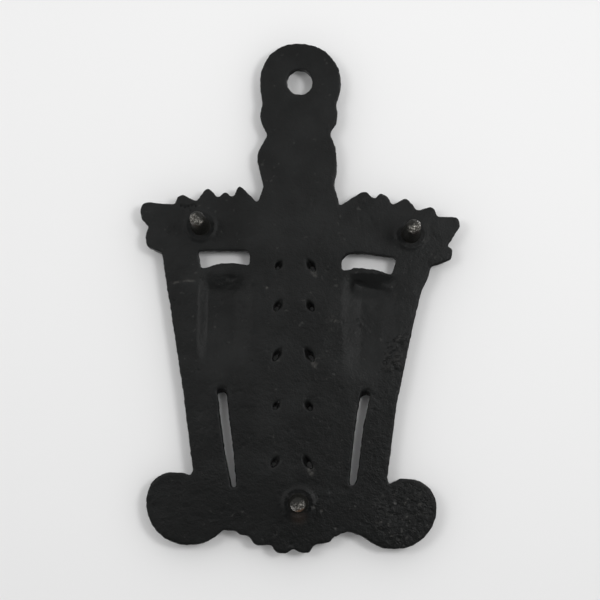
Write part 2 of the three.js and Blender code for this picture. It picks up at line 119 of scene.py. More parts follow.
def apply_modifiers(obj):
    graph = bpy.context.evaluated_depsgraph_get()
    mesh = bpy.data.meshes.new_from_object(obj.evaluated_get(graph))
    obj.modifiers.clear()
    obj.data = mesh
    mesh.name = obj.name


def remesh(obj, voxel_mm):
    """Rebuilds a closed mesh as an even skin of small quads."""
    modifier = obj.modifiers.new("skin", "REMESH")
    modifier.mode = "VOXEL"
    modifier.voxel_size = voxel_mm * MM
    modifier.use_smooth_shade = True
    apply_modifiers(obj)


def thin_out(obj, faces):
    """Joins the flattest triangles until this many are left."""
    triangles = sum(len(p.vertices) - 2 for p in obj.data.polygons)
    modifier = obj.modifiers.new("thin", "DECIMATE")
    modifier.ratio = min(1.0, faces / triangles)
    apply_modifiers(obj)


def smoothed(points, edges, passes):
    """Moves each point half-way to the middle of its neighbours, several times."""
    count = np.bincount(edges.ravel(), minlength=len(points))
    for _ in range(passes):
        total = np.empty_like(points)
        for axis in range(3):
            here = points[:, axis]
            total[:, axis] = np.bincount(edges[:, 0], here[edges[:, 1]], len(points))
            total[:, axis] += np.bincount(edges[:, 1], here[edges[:, 0]], len(points))
        points = points + 0.5 * (total / count[:, None] - points)
    return points


def set_attribute(obj, name, values):
    """A number at each vertex, for a material to read."""
    attribute = obj.data.attributes.new(name, "FLOAT", "POINT")
    attribute.data.foreach_set("value", np.asarray(values, np.float32))


def ramp(values, low, high):
    """0 below low, 1 above high, and smooth between."""
    t = np.clip((values - low) / (high - low), 0, 1)
    return t * t * (3 - 2 * t)


def window(values, start, full, fade, end):
    """0 up to start, 1 from full to fade, 0 again from end, and smooth between."""
    return ramp(values, start, full) * (1 - ramp(values, fade, end))


SEED_STEP = (17.3, 5.1, 9.7)  # from the noise of one seed to the noise of the next
FRACTAL_INCREMENT = 1.0
LACUNARITY = 2.0


def ripple(points, size, seed, octaves=1):
    """Smooth noise from about -1 to 1 with features of that size."""
    offset = Vector([seed * step for step in SEED_STEP])
    scaled = points / size
    if octaves == 1:
        return np.array([noise.noise(Vector(p) + offset) for p in scaled])
    return np.array([
        noise.fractal(Vector(p) + offset, FRACTAL_INCREMENT, LACUNARITY, octaves) for p in scaled
    ])


def flat_points(x, y):
    """Points at (x, y) in one plane, for ripple()."""
    return np.stack([x, y, np.zeros_like(x)], axis=1)


# ---- materials


def new_material(name):
    material = bpy.data.materials.new(name)
    material.use_nodes = True
    return material, material.node_tree


def noise_texture(tree, coordinates, scale, detail, roughness=0.55):
    """Noise with that many features to the metre."""
    texture = tree.nodes.new("ShaderNodeTexNoise")
    texture.inputs["Scale"].default_value = scale
    texture.inputs["Detail"].default_value = detail
    texture.inputs["Roughness"].default_value = roughness
    tree.links.new(coordinates, texture.inputs["Vector"])
    return texture.outputs["Fac"]


def colour_ramp(tree, value, stops):
    """Colours along a value, from (position, (r, g, b)) stops."""
    node = tree.nodes.new("ShaderNodeValToRGB")
    elements = node.color_ramp.elements
    while len(elements) < len(stops):
        elements.new(0.5)
    for element, (position, colour) in zip(elements, stops):
        element.position = position
        element.color = (*colour, 1.0)
    tree.links.new(value, node.inputs["Fac"])
    return node.outputs["Color"]


def mixed(tree, share, first, second):
    """A colour between two colours, each a socket or (r, g, b)."""
    node = tree.nodes.new("ShaderNodeMix")
    node.data_type = "RGBA"
    for socket, value in (("Factor", share), ("A", first), ("B", second)):
        found = [s for s in node.inputs if s.name == socket and s.enabled]
        if isinstance(value, bpy.types.NodeSocket):
            tree.links.new(value, found[0])
        elif isinstance(value, tuple):
            found[0].default_value = (*value, 1.0)
        else:
            found[0].default_value = value
    return [s for s in node.outputs if s.enabled][0]


def maths(tree, operation, first, second=0.0, third=0.0, clamp=False):
    """An operation on sockets and numbers, as a socket."""
    node = tree.nodes.new("ShaderNodeMath")
    node.operation = operation
    node.use_clamp = clamp
    for socket, value in zip(node.inputs, (first, second, third)):
        if isinstance(value, bpy.types.NodeSocket):
            tree.links.new(value, socket)
        else:
            socket.default_value = value
    return node.outputs["Value"]


def eased(tree, value, start, end):
    """A value eased from start to end, each a pair of the value there and what comes out."""
    node = tree.nodes.new("ShaderNodeMapRange")
    node.interpolation_type = "SMOOTHSTEP"
    for limit, (there, outcome) in (("Min", start), ("Max", end)):
        node.inputs["From " + limit].default_value = there
        node.inputs["To " + limit].default_value = outcome
    tree.links.new(value, node.inputs["Value"])
    return node.outputs["Result"]


def split(tree, vector):
    """The X, Y and Z sockets of a vector."""
    node = tree.nodes.new("ShaderNodeSeparateXYZ")
    tree.links.new(vector, node.inputs["Vector"])
    return node.outputs


def bump(tree, height, relief, normal=None):
    """A bumpy normal. A relief is a strength and a height in millimetres."""
    strength, height_mm = relief
    node = tree.nodes.new("ShaderNodeBump")
    node.inputs["Strength"].default_value = strength
    node.inputs["Distance"].default_value = height_mm * MM
    tree.links.new(height, node.inputs["Height"])
    if normal is not None:
        tree.links.new(normal, node.inputs["Normal"])
    return node.outputs["Normal"]


def attribute(tree, name):
    """What set_attribute() left under this name."""
    node = tree.nodes.new("ShaderNodeAttribute")
    node.attribute_name = name
    return node.outputs["Fac"]


BLACK_PAINT = (0.0022, 0.0025, 0.0024)
THIN_PAINT = (0.0070, 0.0075, 0.0074)
PALE_FLECK = (0.020, 0.020, 0.019)
BARE_IRON = (0.15, 0.146, 0.136)
DARK_IRON = (0.040, 0.037, 0.032)
BRIGHT_IRON = (0.55, 0.53, 0.48)
RUST = (0.075, 0.040, 0.020)
RUST_STAIN = (0.012, 0.0088, 0.0070)
# Near black, painted as shade on the walls of the openings and in the gas holes.
PAINTED_SHADE = (0.0012, 0.0012, 0.0012)
OLIVE = (0.030, 0.027, 0.019)
NONE = (0.0, 0.0, 0.0)
ALL = (1.0, 1.0, 1.0)

# Noises, each as features to the metre, detail and, for the blotches, roughness.
CLOUD_NOISE = (55, 4)
FLECK_NOISE = (480, 1)
POCK_NOISE = (560, 1.5)
SPECK_NOISE = (620, 2)
GRAIN_NOISE = (1400, 3)
BLOTCH_NOISE = (1500, 2, 0.6)
FOOT_GRAIN_NOISE = (2600, 3)

# Colours along a noise.
PAINT_STOPS = [(0.34, BLACK_PAINT), (0.62, THIN_PAINT)]
FLECK_STOPS = [(0.70, NONE), (0.80, ALL)]
POCK_STOPS = [(0.55, ALL), (0.62, NONE)]
IRON_STOPS = [(0.44, DARK_IRON), (0.59, BARE_IRON), (0.70, BRIGHT_IRON)]

# Reliefs, each a strength and a height in millimetres.
SPECK_RELIEF = (0.8, 0.20)
POCK_RELIEF = (0.9, 0.30)
GRAIN_RELIEF = (0.8, 0.14)
BLOTCH_RELIEF = (0.9, 0.30)
FOOT_GRAIN_RELIEF = (0.4, 0.06)

# The paint changes from the handle to the scalloped end: darker there, as painted shade, and
# glossier.
CHANGE = (-8.0, 0.35)  # per metre along Y, and at the middle
LOWER_END_SHADE = -0.16
LOWER_ROUGHNESS = -0.06

SPECULAR_LEVEL = 0.15
OLIVE_SHARE = 0.15
METAL_SHARE = 0.75

# What a noise or wear is multiplied by, and what is then added.
PAINT_ROUGHNESS = (0.24, 0.34)
FOOT_ROUGHNESS = (0.3, 0.28)
WEAR_BY_SPECKS = (3.0, -1.0)
WEAR_BY_BLOTCHES = (2.4, -1.2)
WEAR_CONTRAST = (2.2, -0.5)


def paint_colour(tree, place, lower, grain, speck):
    """Paint that is thin in clouds and darkened towards the scalloped end as painted shade, with
    flecks, rust stains, bare iron where worn, and painted shade in the openings and gas holes.
    """
    cloud = noise_texture(tree, place, *CLOUD_NOISE)
    # Clouds of thin paint, darkened towards the scalloped end as painted shade.
    thin_paint_and_shade = maths(tree, "MULTIPLY_ADD", lower, LOWER_END_SHADE, cloud)
    paint = colour_ramp(tree, thin_paint_and_shade, PAINT_STOPS)
    fleck = noise_texture(tree, place, *FLECK_NOISE)
    flecks = colour_ramp(tree, fleck, FLECK_STOPS)
    flecked = mixed(tree, flecks, paint, PALE_FLECK)
    stained = mixed(tree, attribute(tree, "stain"), flecked, RUST_STAIN)
    bare = mixed(tree, grain, DARK_IRON, BARE_IRON)
    edge = maths(tree, "MULTIPLY_ADD", speck, *WEAR_BY_SPECKS, clamp=True)
    share = maths(tree, "MULTIPLY", attribute(tree, "wear"), edge, clamp=True)
    rubbed = mixed(tree, share, stained, bare)
    # Painted shade: the walls of the openings and the gas holes go near black.
    return mixed(tree, attribute(tree, "recess_shade"), rubbed, PAINTED_SHADE)


def paint_relief(tree, place, grain, speck):
    """Small lumps all over, pocks where the casting is pocked, and the grain of the sand."""
    pock = noise_texture(tree, place, *POCK_NOISE)
    pocks = colour_ramp(tree, pock, POCK_STOPS)
    pock_height = maths(tree, "MULTIPLY", pocks, attribute(tree, "pocked"))
    lumps = bump(tree, speck, SPECK_RELIEF)
    pocked = bump(tree, pock_height, POCK_RELIEF, lumps)
    return bump(tree, grain, GRAIN_RELIEF, pocked)


def painted_iron():
    """Satin black paint over as-cast iron: grain from the moulding sand, thin spots and wear."""
    material, tree = new_material("painted_iron")
    shader = tree.nodes["Principled BSDF"]
    place = tree.nodes.new("ShaderNodeTexCoord").outputs["Object"]
    grain = noise_texture(tree, place, *GRAIN_NOISE)
    speck = noise_texture(tree, place, *SPECK_NOISE)
    north = split(tree, place)["Y"]
    # 0 at the handle and 1 at the scalloped end, which is darkened as painted shade and made
    # glossier.
    lower = maths(tree, "MULTIPLY_ADD", north, *CHANGE, clamp=True)
    colour = paint_colour(tree, place, lower, grain, speck)
    tree.links.new(colour, shader.inputs["Base Color"])
    satin = maths(tree, "MULTIPLY_ADD", grain, *PAINT_ROUGHNESS)
    gloss = maths(tree, "MULTIPLY_ADD", lower, LOWER_ROUGHNESS, satin)
    matt = maths(tree, "MAXIMUM", gloss, attribute(tree, "recess_shade"))
    tree.links.new(matt, shader.inputs["Roughness"])
    shader.inputs["Specular IOR Level"].default_value = SPECULAR_LEVEL
    tree.links.new(paint_relief(tree, place, grain, speck), shader.inputs["Normal"])
    return material


def worn_iron():
    """A foot: the same paint on the shank, rubbed through to rough bright iron at the tip,
    brightest on one side as a painted highlight.
    """
    material, tree = new_material("worn_iron")
    shader = tree.nodes["Principled BSDF"]
    place = tree.nodes.new("ShaderNodeTexCoord").outputs["Object"]
    blotch = noise_texture(tree, place, *BLOTCH_NOISE)
    grain = noise_texture(tree, place, *FOOT_GRAIN_NOISE)
    wear = attribute(tree, "wear")

    iron = colour_ramp(tree, blotch, IRON_STOPS)
    paint = mixed(tree, grain, BLACK_PAINT, THIN_PAINT)
    dull = mixed(tree, OLIVE_SHARE, paint, OLIVE)
    stained = mixed(tree, attribute(tree, "rust"), dull, RUST)
    share = maths(tree, "MULTIPLY_ADD", blotch, *WEAR_BY_BLOTCHES)
    rubbed = maths(tree, "ADD", wear, share, clamp=True)
    sharp = maths(tree, "MULTIPLY_ADD", rubbed, *WEAR_CONTRAST, clamp=True)
    bare = maths(tree, "MULTIPLY", sharp, wear, clamp=True)
    tree.links.new(mixed(tree, bare, stained, iron), shader.inputs["Base Color"])
    metal = maths(tree, "MULTIPLY", bare, METAL_SHARE)
    tree.links.new(metal, shader.inputs["Metallic"])

    gloss = maths(tree, "MULTIPLY_ADD", blotch, *FOOT_ROUGHNESS)
    tree.links.new(gloss, shader.inputs["Roughness"])
    shader.inputs["Specular IOR Level"].default_value = SPECULAR_LEVEL
    relief = bump(tree, blotch, BLOTCH_RELIEF)
    tree.links.new(bump(tree, grain, FOOT_GRAIN_RELIEF, relief), shader.inputs["Normal"])
    return material


# ---- the decorated face
#
# Each function here gives the height of one kind of decoration above the base, in millimetres,
# at many points (x, y) of the face at once. The highest of them is the surface. The places are
# those of the CAD model's plainer decoration.

AXIS_X = 1.6  # centre line of the stalk and the handle
RELIEF_HEIGHT = TOP_Z - FACE_Z


def local(x, y, start, end):
    """Place along and across a line: along runs from -1 at start to 1 at end."""
    length = math.hypot(end[0] - start[0], end[1] - start[1])
    cos, sin = (end[0] - start[0]) / length, (end[1] - start[1]) / length
    east, north = x - (start[0] + end[0]) / 2, y - (start[1] + end[1]) / 2
    return (east * cos + north * sin) * 2 / length, north * cos - east * sin


def dome(square):
    """Height of a round shape from how far out a point is, squared: 1 is its edge."""
    return np.sqrt(np.clip(1 - square, 0, 1))


def oval(x, y, centre, halves):
    """A dome over an oval, which is given by half its width and half its length."""
    return dome(((x - centre[0]) / halves[0]) ** 2 + ((y - centre[1]) / halves[1]) ** 2)


def ridge(distance, half_width):
    """1 on a line, falling off at both sides."""
    return np.exp(-(distance / half_width) ** 2)


def beaded(least, turns):
    """A height that swells into beads, from least to 1. Each bead is pi long in turns."""
    return least + (1 - least) * np.abs(np.cos(turns))


CREASE_HALF_WIDTH = 0.42
CREASE_FADE = (0.1, 0.6)  # the shares of the body's height between which it fades in


def kernel(x, y, start, end, width, height, crease=0.6, taper=0.22):
    """A grain with a crease down its middle, wider near its start."""
    along, across = local(x, y, start, end)
    half = width / 2 * (1 - taper * along)
    body = dome(along ** 2 + (across / half) ** 2)
    groove = crease * ridge(across, CREASE_HALF_WIDTH) * ramp(body, *CREASE_FADE)
    return np.where(body > 0, height * body - groove, 0)


LEAF_TAPER = 0.25
LEAF_BODY = 0.86  # share of the height without the midrib
VEIN_SPACING = 1.7
VEIN_SLANT = 0.9
VEIN_HEIGHT = 0.16
MIDRIB_HEIGHT = 0.45
MIDRIB_HALF_WIDTH = 0.4
VEIN_FADE = (0.15, 0.6)


def leaf(x, y, start, end, width, height):
    """A leaf with a raised midrib and slanted veins."""
    along, across = local(x, y, start, end)
    half = width / 2 * (1 - LEAF_TAPER * along)
    body = dome(along ** 2 + (across / half) ** 2)
    length = math.hypot(end[0] - start[0], end[1] - start[1])
    slanted = along * length / 2 - VEIN_SLANT * np.abs(across)
    veins = VEIN_HEIGHT * np.sin(slanted * 2 * math.pi / VEIN_SPACING)
    midrib = MIDRIB_HEIGHT * ridge(across, MIDRIB_HALF_WIDTH)
    detail = (veins + midrib) * ramp(body, *VEIN_FADE)
    return np.where(body > 0, height * LEAF_BODY * body + detail, 0)


def half_round(x, y, start, end, width, height):
    """A bar with a round top and square ends."""
    along, across = local(x, y, start, end)
    return height * dome((across / (width / 2)) ** 2) * (np.abs(along) < 1)


# Bars, each by its width and height.
STEM = (2.4, 3.0)
STALK = (3.4, 2.6)
STALK_NODE = (4.0, 2.6)
COLLAR = (3.6, 3.8)
BAND = (3.6, 2.9)

# Grains, each by its width and height, with the depth of its crease and its taper.
GRAIN = (6.2, 3.1)
STRAND = (5.6, 2.7, 0.35, 0.0)
PETAL = (6.2, 3.1, 0.5, 0.3)
RIB = (6.4, 3.2, 0.4, 0.25)
REED = (5.6, 2.7, 0.5, 0.0)
LEAF = (6.0, 3.2)

# Grains of wheat, each from its start at the stem to its tip.
GRAINS = [
    ((17.5, 30.0), (23.6, 41.2)), ((24.5, 29.5), (29.9, 38.6)), ((30.5, 29.0), (36.6, 40.4)),
    ((38.5, 28.5), (46.6, 37.6)), ((46.5, 28.5), (61.8, 34.0)), ((46.5, 26.5), (59.6, 19.6)),
    ((19.0, 26.5), (26.0, 18.6)), ((26.5, 26.5), (33.5, 18.4)), ((34.5, 26.5), (42.0, 18.2)),
    ((42.0, 26.0), (50.6, 17.6)),
    ((-16.0, 29.5), (-25.0, 40.0)), ((-25.0, 29.0), (-32.6, 39.2)),
    ((-33.0, 28.5), (-41.6, 37.8)), ((-41.0, 27.5), (-51.9, 34.5)),
    ((-47.5, 26.0), (-61.8, 29.6)), ((-47.5, 24.5), (-59.2, 16.6)),
    ((-17.5, 26.0), (-24.5, 18.4)), ((-25.0, 25.5), (-32.5, 18.0)),
    ((-33.0, 25.0), (-41.0, 17.4)), ((-41.0, 24.0), (-49.6, 15.8)),
]
STEMS = [((9.6, 28.0), (50, 27.4)), ((-6.4, 27.8), (-50, 25.0))]


def shoulders(x, y):
    """Ears of wheat that lie along both shoulders, their upper grains ending at the outline."""
    heights = [half_round(x, y, start, end, *STEM) for start, end in STEMS]
    heights += [kernel(x, y, start, tip, *GRAIN) for start, tip in GRAINS]
    return np.max(heights, axis=0)


STALK_TOP = 24
STALK_BOTTOM = -70
LEAF_ROWS = (20, 3.5, -14, -34, -55)
LEAF_LENGTH = 12.5
LEAF_LEAN = 0.8  # from the stalk, in radians
NODE_START = -1  # from where the leaves start, as the next two
NODE_END = 3
NODE_RING_RISE = 1.2
NODE_RING_HALF_WIDTH = 0.7
NODE_RING_REACH = 1.9
NODE_RING_HEIGHT = 0.5


def stalk(x, y):
    """The middle stalk, thicker and ringed at each pair of leaves."""
    top, bottom = (AXIS_X, STALK_TOP), (AXIS_X, STALK_BOTTOM)
    heights = [half_round(x, y, bottom, top, *STALK)]
    for row in LEAF_ROWS:
        ring = NODE_RING_HEIGHT * ridge(y - row - NODE_RING_RISE, NODE_RING_HALF_WIDTH)
        ring *= np.abs(x - AXIS_X) < NODE_RING_REACH
        below, above = (AXIS_X, row + NODE_START), (AXIS_X, row + NODE_END)
        heights.append(half_round(x, y, below, above, *STALK_NODE) + ring)
        for side in (1, -1):
            tip = (
                AXIS_X + side * LEAF_LENGTH * math.sin(LEAF_LEAN),
                row - LEAF_LENGTH * math.cos(LEAF_LEAN),
            )
            heights.append(leaf(x, y, (AXIS_X, row), tip, *LEAF))
    return np.max(heights, axis=0)


TASSEL_TOP_X = 29  # the tassels' middles, at the collar and at the lower end
TASSEL_FOOT_X = 25
CAP_Y = 2
CAP_HALVES = (10.5, 8.5)
CAP_HEIGHT = 3.5
NET_SPACING = 3.4
NET_SHARPNESS = 10
NET_HEIGHT = 0.35
NET_FADE = (0.2, 0.6)
COLLAR_Y = -6.5
COLLAR_BEAD = 2.6
COLLAR_LEAST = 0.80
FRINGE_TOP = -8
FRINGE_BOTTOM = -84
FRINGE_TOP_WIDTH = 20
FRINGE_NARROWING = 3
FRINGE_START = -0.02  # share of the way down where the cords start, under the collar
FRINGE_END = 0.985  # and where they round off
FRINGE_SHORTER = 0.02  # by which every other cord rounds off sooner
FRINGE_SWAY = 0.3
FRINGE_SWAY_LENGTH = 7
CORDS = 7
CORD_HEIGHT = 2.6
CORD_ROUNDNESS = 0.94
TWIST_HEIGHT = 0.22
TWIST_SPACING = 2.3
TWIST_SLANT = 0.45
TWIST_SHIFT = 0.37  # from one cord to the next


def netted_cap(x, y, middle_x):
    """A domed cap under a net of two sets of slanted threads."""
    cap = oval(x, y, (middle_x, CAP_Y), CAP_HALVES)
    rising = np.cos(math.pi * (x - middle_x + y) / NET_SPACING) ** NET_SHARPNESS
    falling = np.cos(math.pi * (x - middle_x - y) / NET_SPACING) ** NET_SHARPNESS
    net = NET_HEIGHT * np.maximum(rising, falling) * ramp(cap, *NET_FADE)
    return np.where(cap > 0, CAP_HEIGHT * cap + net, 0)


def beaded_collar(x, y, middle_x):
    """The band that ties a tassel, swelling into beads."""
    start = (middle_x - CAP_HALVES[0], COLLAR_Y)
    end = (middle_x + CAP_HALVES[0], COLLAR_Y)
    beads = beaded(COLLAR_LEAST, math.pi * (x - middle_x) / COLLAR_BEAD)
    return half_round(x, y, start, end, *COLLAR) * beads


def fringe(x, y, top_x, foot_x):
    """Twisted cords side by side, every other one a little shorter."""
    down = (FRINGE_TOP - y) / (FRINGE_TOP - FRINGE_BOTTOM)
    middle = top_x + (foot_x - top_x) * down + FRINGE_SWAY * np.sin(y / FRINGE_SWAY_LENGTH)
    width = FRINGE_TOP_WIDTH - FRINGE_NARROWING * down
    place = ((x - middle) / width + 0.5) * CORDS
    cord = np.floor(place)
    across = 2 * (place - cord) - 1
    body = CORD_HEIGHT * np.sqrt(np.clip(1 - across ** 2 * CORD_ROUNDNESS, 0, 1))
    turns = y / TWIST_SPACING + TWIST_SLANT * across + TWIST_SHIFT * cord
    twist = TWIST_HEIGHT * np.sin(2 * math.pi * turns)
    inside = (cord >= 0) & (cord < CORDS) & (down > FRINGE_START)
    end = 1 - ramp(down, FRINGE_END - FRINGE_SHORTER * np.mod(cord, 2), 1.0)
    return np.where(inside, (body + twist) * end, 0)


def tassel(x, y, side):
    """A netted cap, a beaded collar and a fringe of twisted cords."""
    top_x = AXIS_X / 2 + side * (TASSEL_TOP_X - AXIS_X / 2)
    foot_x = AXIS_X / 2 + side * (TASSEL_FOOT_X - AXIS_X / 2)
    parts = [netted_cap(x, y, top_x), beaded_collar(x, y, top_x), fringe(x, y, top_x, foot_x)]
    return np.max(parts, axis=0)


ROPE_RIGHT = ((50.0, 12.0), (36.9, -66.0))
ROPE_LEFT = ((-45.0, 6.0), (-31.4, -68.0))
ROPE_STRANDS = 15
ROPE_SLANT = 0.7  # of a strand from X, in radians
STRAND_HALF_LENGTH = 3.5


def rope(x, y, top, foot, side):
    """A rope down one side of the frame: strands that lie over each other."""
    strands = []
    slant = ROPE_SLANT * side
    half = STRAND_HALF_LENGTH * np.array((math.cos(slant), math.sin(slant)))
    for strand in range(ROPE_STRANDS):
        share = strand / (ROPE_STRANDS - 1)
        middle = np.array(top) + (np.array(foot) - np.array(top)) * share
        strands.append(kernel(x, y, middle - half, middle + half, *STRAND))
    return np.max(strands, axis=0)


BUTTON_EDGE = (3.6, 4.5)  # radius of its flat top, and of its foot
BUTTON_RING_RADIUS = 2.5
BUTTON_RING_SIZE = 0.3  # its depth and half its width


def button(x, y, centre):
    """A flat button that a pan rests on, with a fine ring cut into its top."""
    out = np.hypot(x - centre[0], y - centre[1])
    ring = BUTTON_RING_SIZE * ridge(out - BUTTON_RING_RADIUS, BUTTON_RING_SIZE)
    return (RELIEF_HEIGHT - ring) * (1 - ramp(out, *BUTTON_EDGE))


ROSETTE_RIGHT = (42.6, -84.6)
ROSETTE_LEFT = (-40.2, -85.6)
ROSETTE_HALVES = (12.5, 12)
ROSETTE_RISE = 1.2
PETALS = 8
PETAL_START = 2.4
PETAL_END = 12.0


def rosette(x, y, centre):
    """A low dome with creased petals round a button."""
    rise = oval(x, y, centre, ROSETTE_HALVES)
    heights = [ROSETTE_RISE * rise, button(x, y, centre)]
    for petal in range(PETALS):
        angle = 2 * math.pi * petal / PETALS
        outward = np.array((math.cos(angle), math.sin(angle)))
        start = np.array(centre) + PETAL_START * outward
        end = np.array(centre) + PETAL_END * outward
        heights.append(kernel(x, y, end, start, *PETAL))
    return np.max(heights, axis=0)


FAN_HUB = (AXIS_X - 0.4, -76)
FAN_HUB_HALVES = (6, 4.5)
FAN_HUB_HEIGHT = 3.8
FAN_TIPS = [
    (-16.6, -90.2), (-10.4, -95.2), (-3.8, -98.8), (4.8, -99.2), (12.2, -96.0), (18.4, -91.4),
]


def fan(x, y):
    """A shell of ribs that end in the scallops of the lower edge."""
    hub = oval(x, y, FAN_HUB, FAN_HUB_HALVES)
    ribs = [kernel(x, y, tip, FAN_HUB, *RIB) for tip in FAN_TIPS]
    return np.max([FAN_HUB_HEIGHT * hub] + ribs, axis=0)


HOLE_CENTRE = (1.0, 85.7)
HOLE_RADIUS = 5.2
BEAD_RING_GAP = 3.6  # from the hole's edge to the middle of the beads
BEAD_RING_HALF_WIDTH = 2.0
BEAD_RING_HEIGHT = 2.3
BEAD_RING_LEAST = 0.84
BEAD_RING_BEADS = 26
BAND_ROWS = (64.6, 43.2)
BAND_REACH = 11
BAND_LEAST = 0.85
BAND_TWIST = 2.4
BAND_SLANT = 0.6
REEDS = (-6, 0, 6)
REED_TOP = 63
REED_BOTTOM = 45
FLUTED_Y = 71.6
FLUTED_HALVES = (8.5, 4)
FLUTED_HEIGHT = 2.3
FLUTE_SPACING = 2.8
FLUTE_HEIGHT = 0.2
FLUTE_FADE = (0.2, 0.7)
DISH_Y = 31.5
DISH_HALVES = (8.5, 7.5)
DISH_HEIGHT = 2.4
DISH_PETALS = 12
DISH_PETAL_HEIGHT = 0.22
DISH_PETAL_FADE = (0.1, 0.5)


def hole_beads(x, y):
    """A ring of beads round the hanging hole."""
    out = np.hypot(x - HOLE_CENTRE[0], y - HOLE_CENTRE[1])
    turn = np.arctan2(y - HOLE_CENTRE[1], x - HOLE_CENTRE[0])
    body = dome(((out - HOLE_RADIUS - BEAD_RING_GAP) / BEAD_RING_HALF_WIDTH) ** 2)
    return BEAD_RING_HEIGHT * body * beaded(BEAD_RING_LEAST, BEAD_RING_BEADS / 2 * turn)


def twisted_band(x, y, row):
    """A twisted band across the handle."""
    start, end = (AXIS_X - BAND_REACH, row), (AXIS_X + BAND_REACH, row)
    turns = math.pi * (x - AXIS_X + BAND_SLANT * (y - row)) / BAND_TWIST
    return half_round(x, y, start, end, *BAND) * beaded(BAND_LEAST, turns)


def fluted_dome(x, y):
    """A low dome with flutes, between the upper band and the hole."""
    body = oval(x, y, (AXIS_X, FLUTED_Y), FLUTED_HALVES)
    flutes = FLUTE_HEIGHT * np.cos(2 * math.pi * (x - AXIS_X) / FLUTE_SPACING)
    return np.where(body > 0, FLUTED_HEIGHT * body + flutes * ramp(body, *FLUTE_FADE), 0)


def petalled_dish(x, y):
    """A low dome with petals, under the button at the handle's root."""
    turn = np.arctan2(y - DISH_Y, x - AXIS_X)
    body = oval(x, y, (AXIS_X, DISH_Y), DISH_HALVES)
    petals = DISH_PETAL_HEIGHT * np.cos(DISH_PETALS * turn) * ramp(body, *DISH_PETAL_FADE)
    return np.where(body > 0, DISH_HEIGHT * body + petals, 0)


def handle(x, y):
    """A beaded ring round the hole, two bands with reeds between them, and the lowest button."""
    heights = [
        hole_beads(x, y),
        fluted_dome(x, y),
        petalled_dish(x, y),
        button(x, y, (AXIS_X, DISH_Y)),
    ]
    heights += [twisted_band(x, y, row) for row in BAND_ROWS]
    for reed in REEDS:
        top, bottom = (AXIS_X + reed, REED_TOP), (AXIS_X + reed, REED_BOTTOM)
        heights.append(kernel(x, y, top, bottom, *REED))
    return np.max(heights, axis=0)


GROUND_HEIGHT = 0.10
PEBBLE_TURNS = (2.6, 2.4)  # radians to the millimetre, along X and along Y
PEBBLE_SWAYS = (1.9, 2.1)  # how fast each of those sways along the other axis


def ground(x, y):
    """The pebbled ground between the decorations."""
    across = np.sin(PEBBLE_TURNS[0] * x + np.sin(PEBBLE_SWAYS[0] * y))
    upward = np.sin(PEBBLE_TURNS[1] * y + np.sin(PEBBLE_SWAYS[1] * x))
    return GROUND_HEIGHT * np.abs(across * upward)


def decoration(x, y):
    """The height of the whole decorated face."""
    return np.max([
        ground(x, y),
        shoulders(x, y),
        stalk(x, y),
        tassel(x, y, 1),
        tassel(x, y, -1),
        rope(x, y, *ROPE_RIGHT, 1),
        rope(x, y, *ROPE_LEFT, -1),
        rosette(x, y, ROSETTE_RIGHT),
        rosette(x, y, ROSETTE_LEFT),
        fan(x, y),
        handle(x, y),
    ], axis=0)


def distance_across(points, walls):
    """How far each point is, across the plate, from the nearest of the wall points."""
    tree = KDTree(len(walls))
    for index, (x, y, _) in enumerate(walls):
        tree.insert((x, y, 0.0), index)
    tree.balance()
    return np.array([tree.find((x, y, 0.0))[2] for x, y, _ in points])


FACING = (0.3, 0.8)  # the normal's Z, up or down, over which a point comes to be on a face
WALL_FACING = 0.5  # the normal's Z up to which a point is on a wall
FRONT_START_Z = FACE_Z - 1.0
WALL_START_Z = BACK_Z + 1.2
DECORATION_START = (0.1, 1.2)  # from a wall


def raise_decoration(points, normals):
    """Lifts the front face into its decoration, which starts a little inside each edge."""
    front = (normals[:, 2] > FACING[0]) & (points[:, 2] > FRONT_START_Z)
    wall = (np.abs(normals[:, 2]) < WALL_FACING) & (points[:, 2] > WALL_START_Z)
    reach = distance_across(points[front], points[wall])
    inside = ramp(reach, *DECORATION_START)
    lifted = points.copy()
    x, y = points[front, 0], points[front, 1]
    facing = ramp(normals[front, 2], *FACING)
    lifted[front, 2] += decoration(x, y) * inside * facing
    return lifted


# ---- the marks on the back
#
# Where each kind of mark is, at many points (x, y) at once: mostly 1 inside it and 0 outside.
# back_marks() turns them into how far the back is sunk, in millimetres, and how far its paint is
# worn, from 0 to 1.

BLOW_HOLES = [(47.6, 34.4), (46.0, 33.9), (44.6, 34.2), (43.2, 34.6), (41.7, 34.4), (43.9, 32.6)]
BLOW_HOLE_RADIUS = 0.62
BLOW_HOLE_DEPTH = 0.8
# The gas holes are painted dark as shade between these values of their mark.
BLOW_HOLE_SHADE = (0.3, 0.8)  # the values of its mark between which it blackens
NICKS = [(-7.4, -83.6), (-10.6, -84.9), (-16.2, -91.6), (12.6, 2.2)]
NICK_RADIUS = 0.7
NICK_DEPTH = 0.35
NICK_WEAR = 0.80
CHIPPED_PATCH = (-13.8, -11.5)
CHIPPED_RADIUS = 3.6
CHIP_WEAR = 0.7
ROUGH_BALL = (-41.5, -86)
ROUGH_BALL_RADIUS = 17
BALL_PIT_DEPTH = 0.26
BALL_LUMP_HEIGHT = 0.10
BALL_WEAR = 0.60
BALL_POCKS = 0.7
DIMPLE_DEPTH = 0.30
HIGH_SPOT_WEAR = 0.20
RUST_RADIUS = 4.4
RUST_OFFSET = (-0.3, -5.0)  # from the front foot


def spot(x, y, centre, radius):
    """1 in the middle of a round spot, falling to 0 at its radius."""
    return 1 - ramp(np.hypot(x - centre[0], y - centre[1]), 0.25 * radius, radius)


def spots(x, y, centres, radius):
    """Several round spots alike."""
    return np.max([spot(x, y, centre, radius) for centre in centres], axis=0)


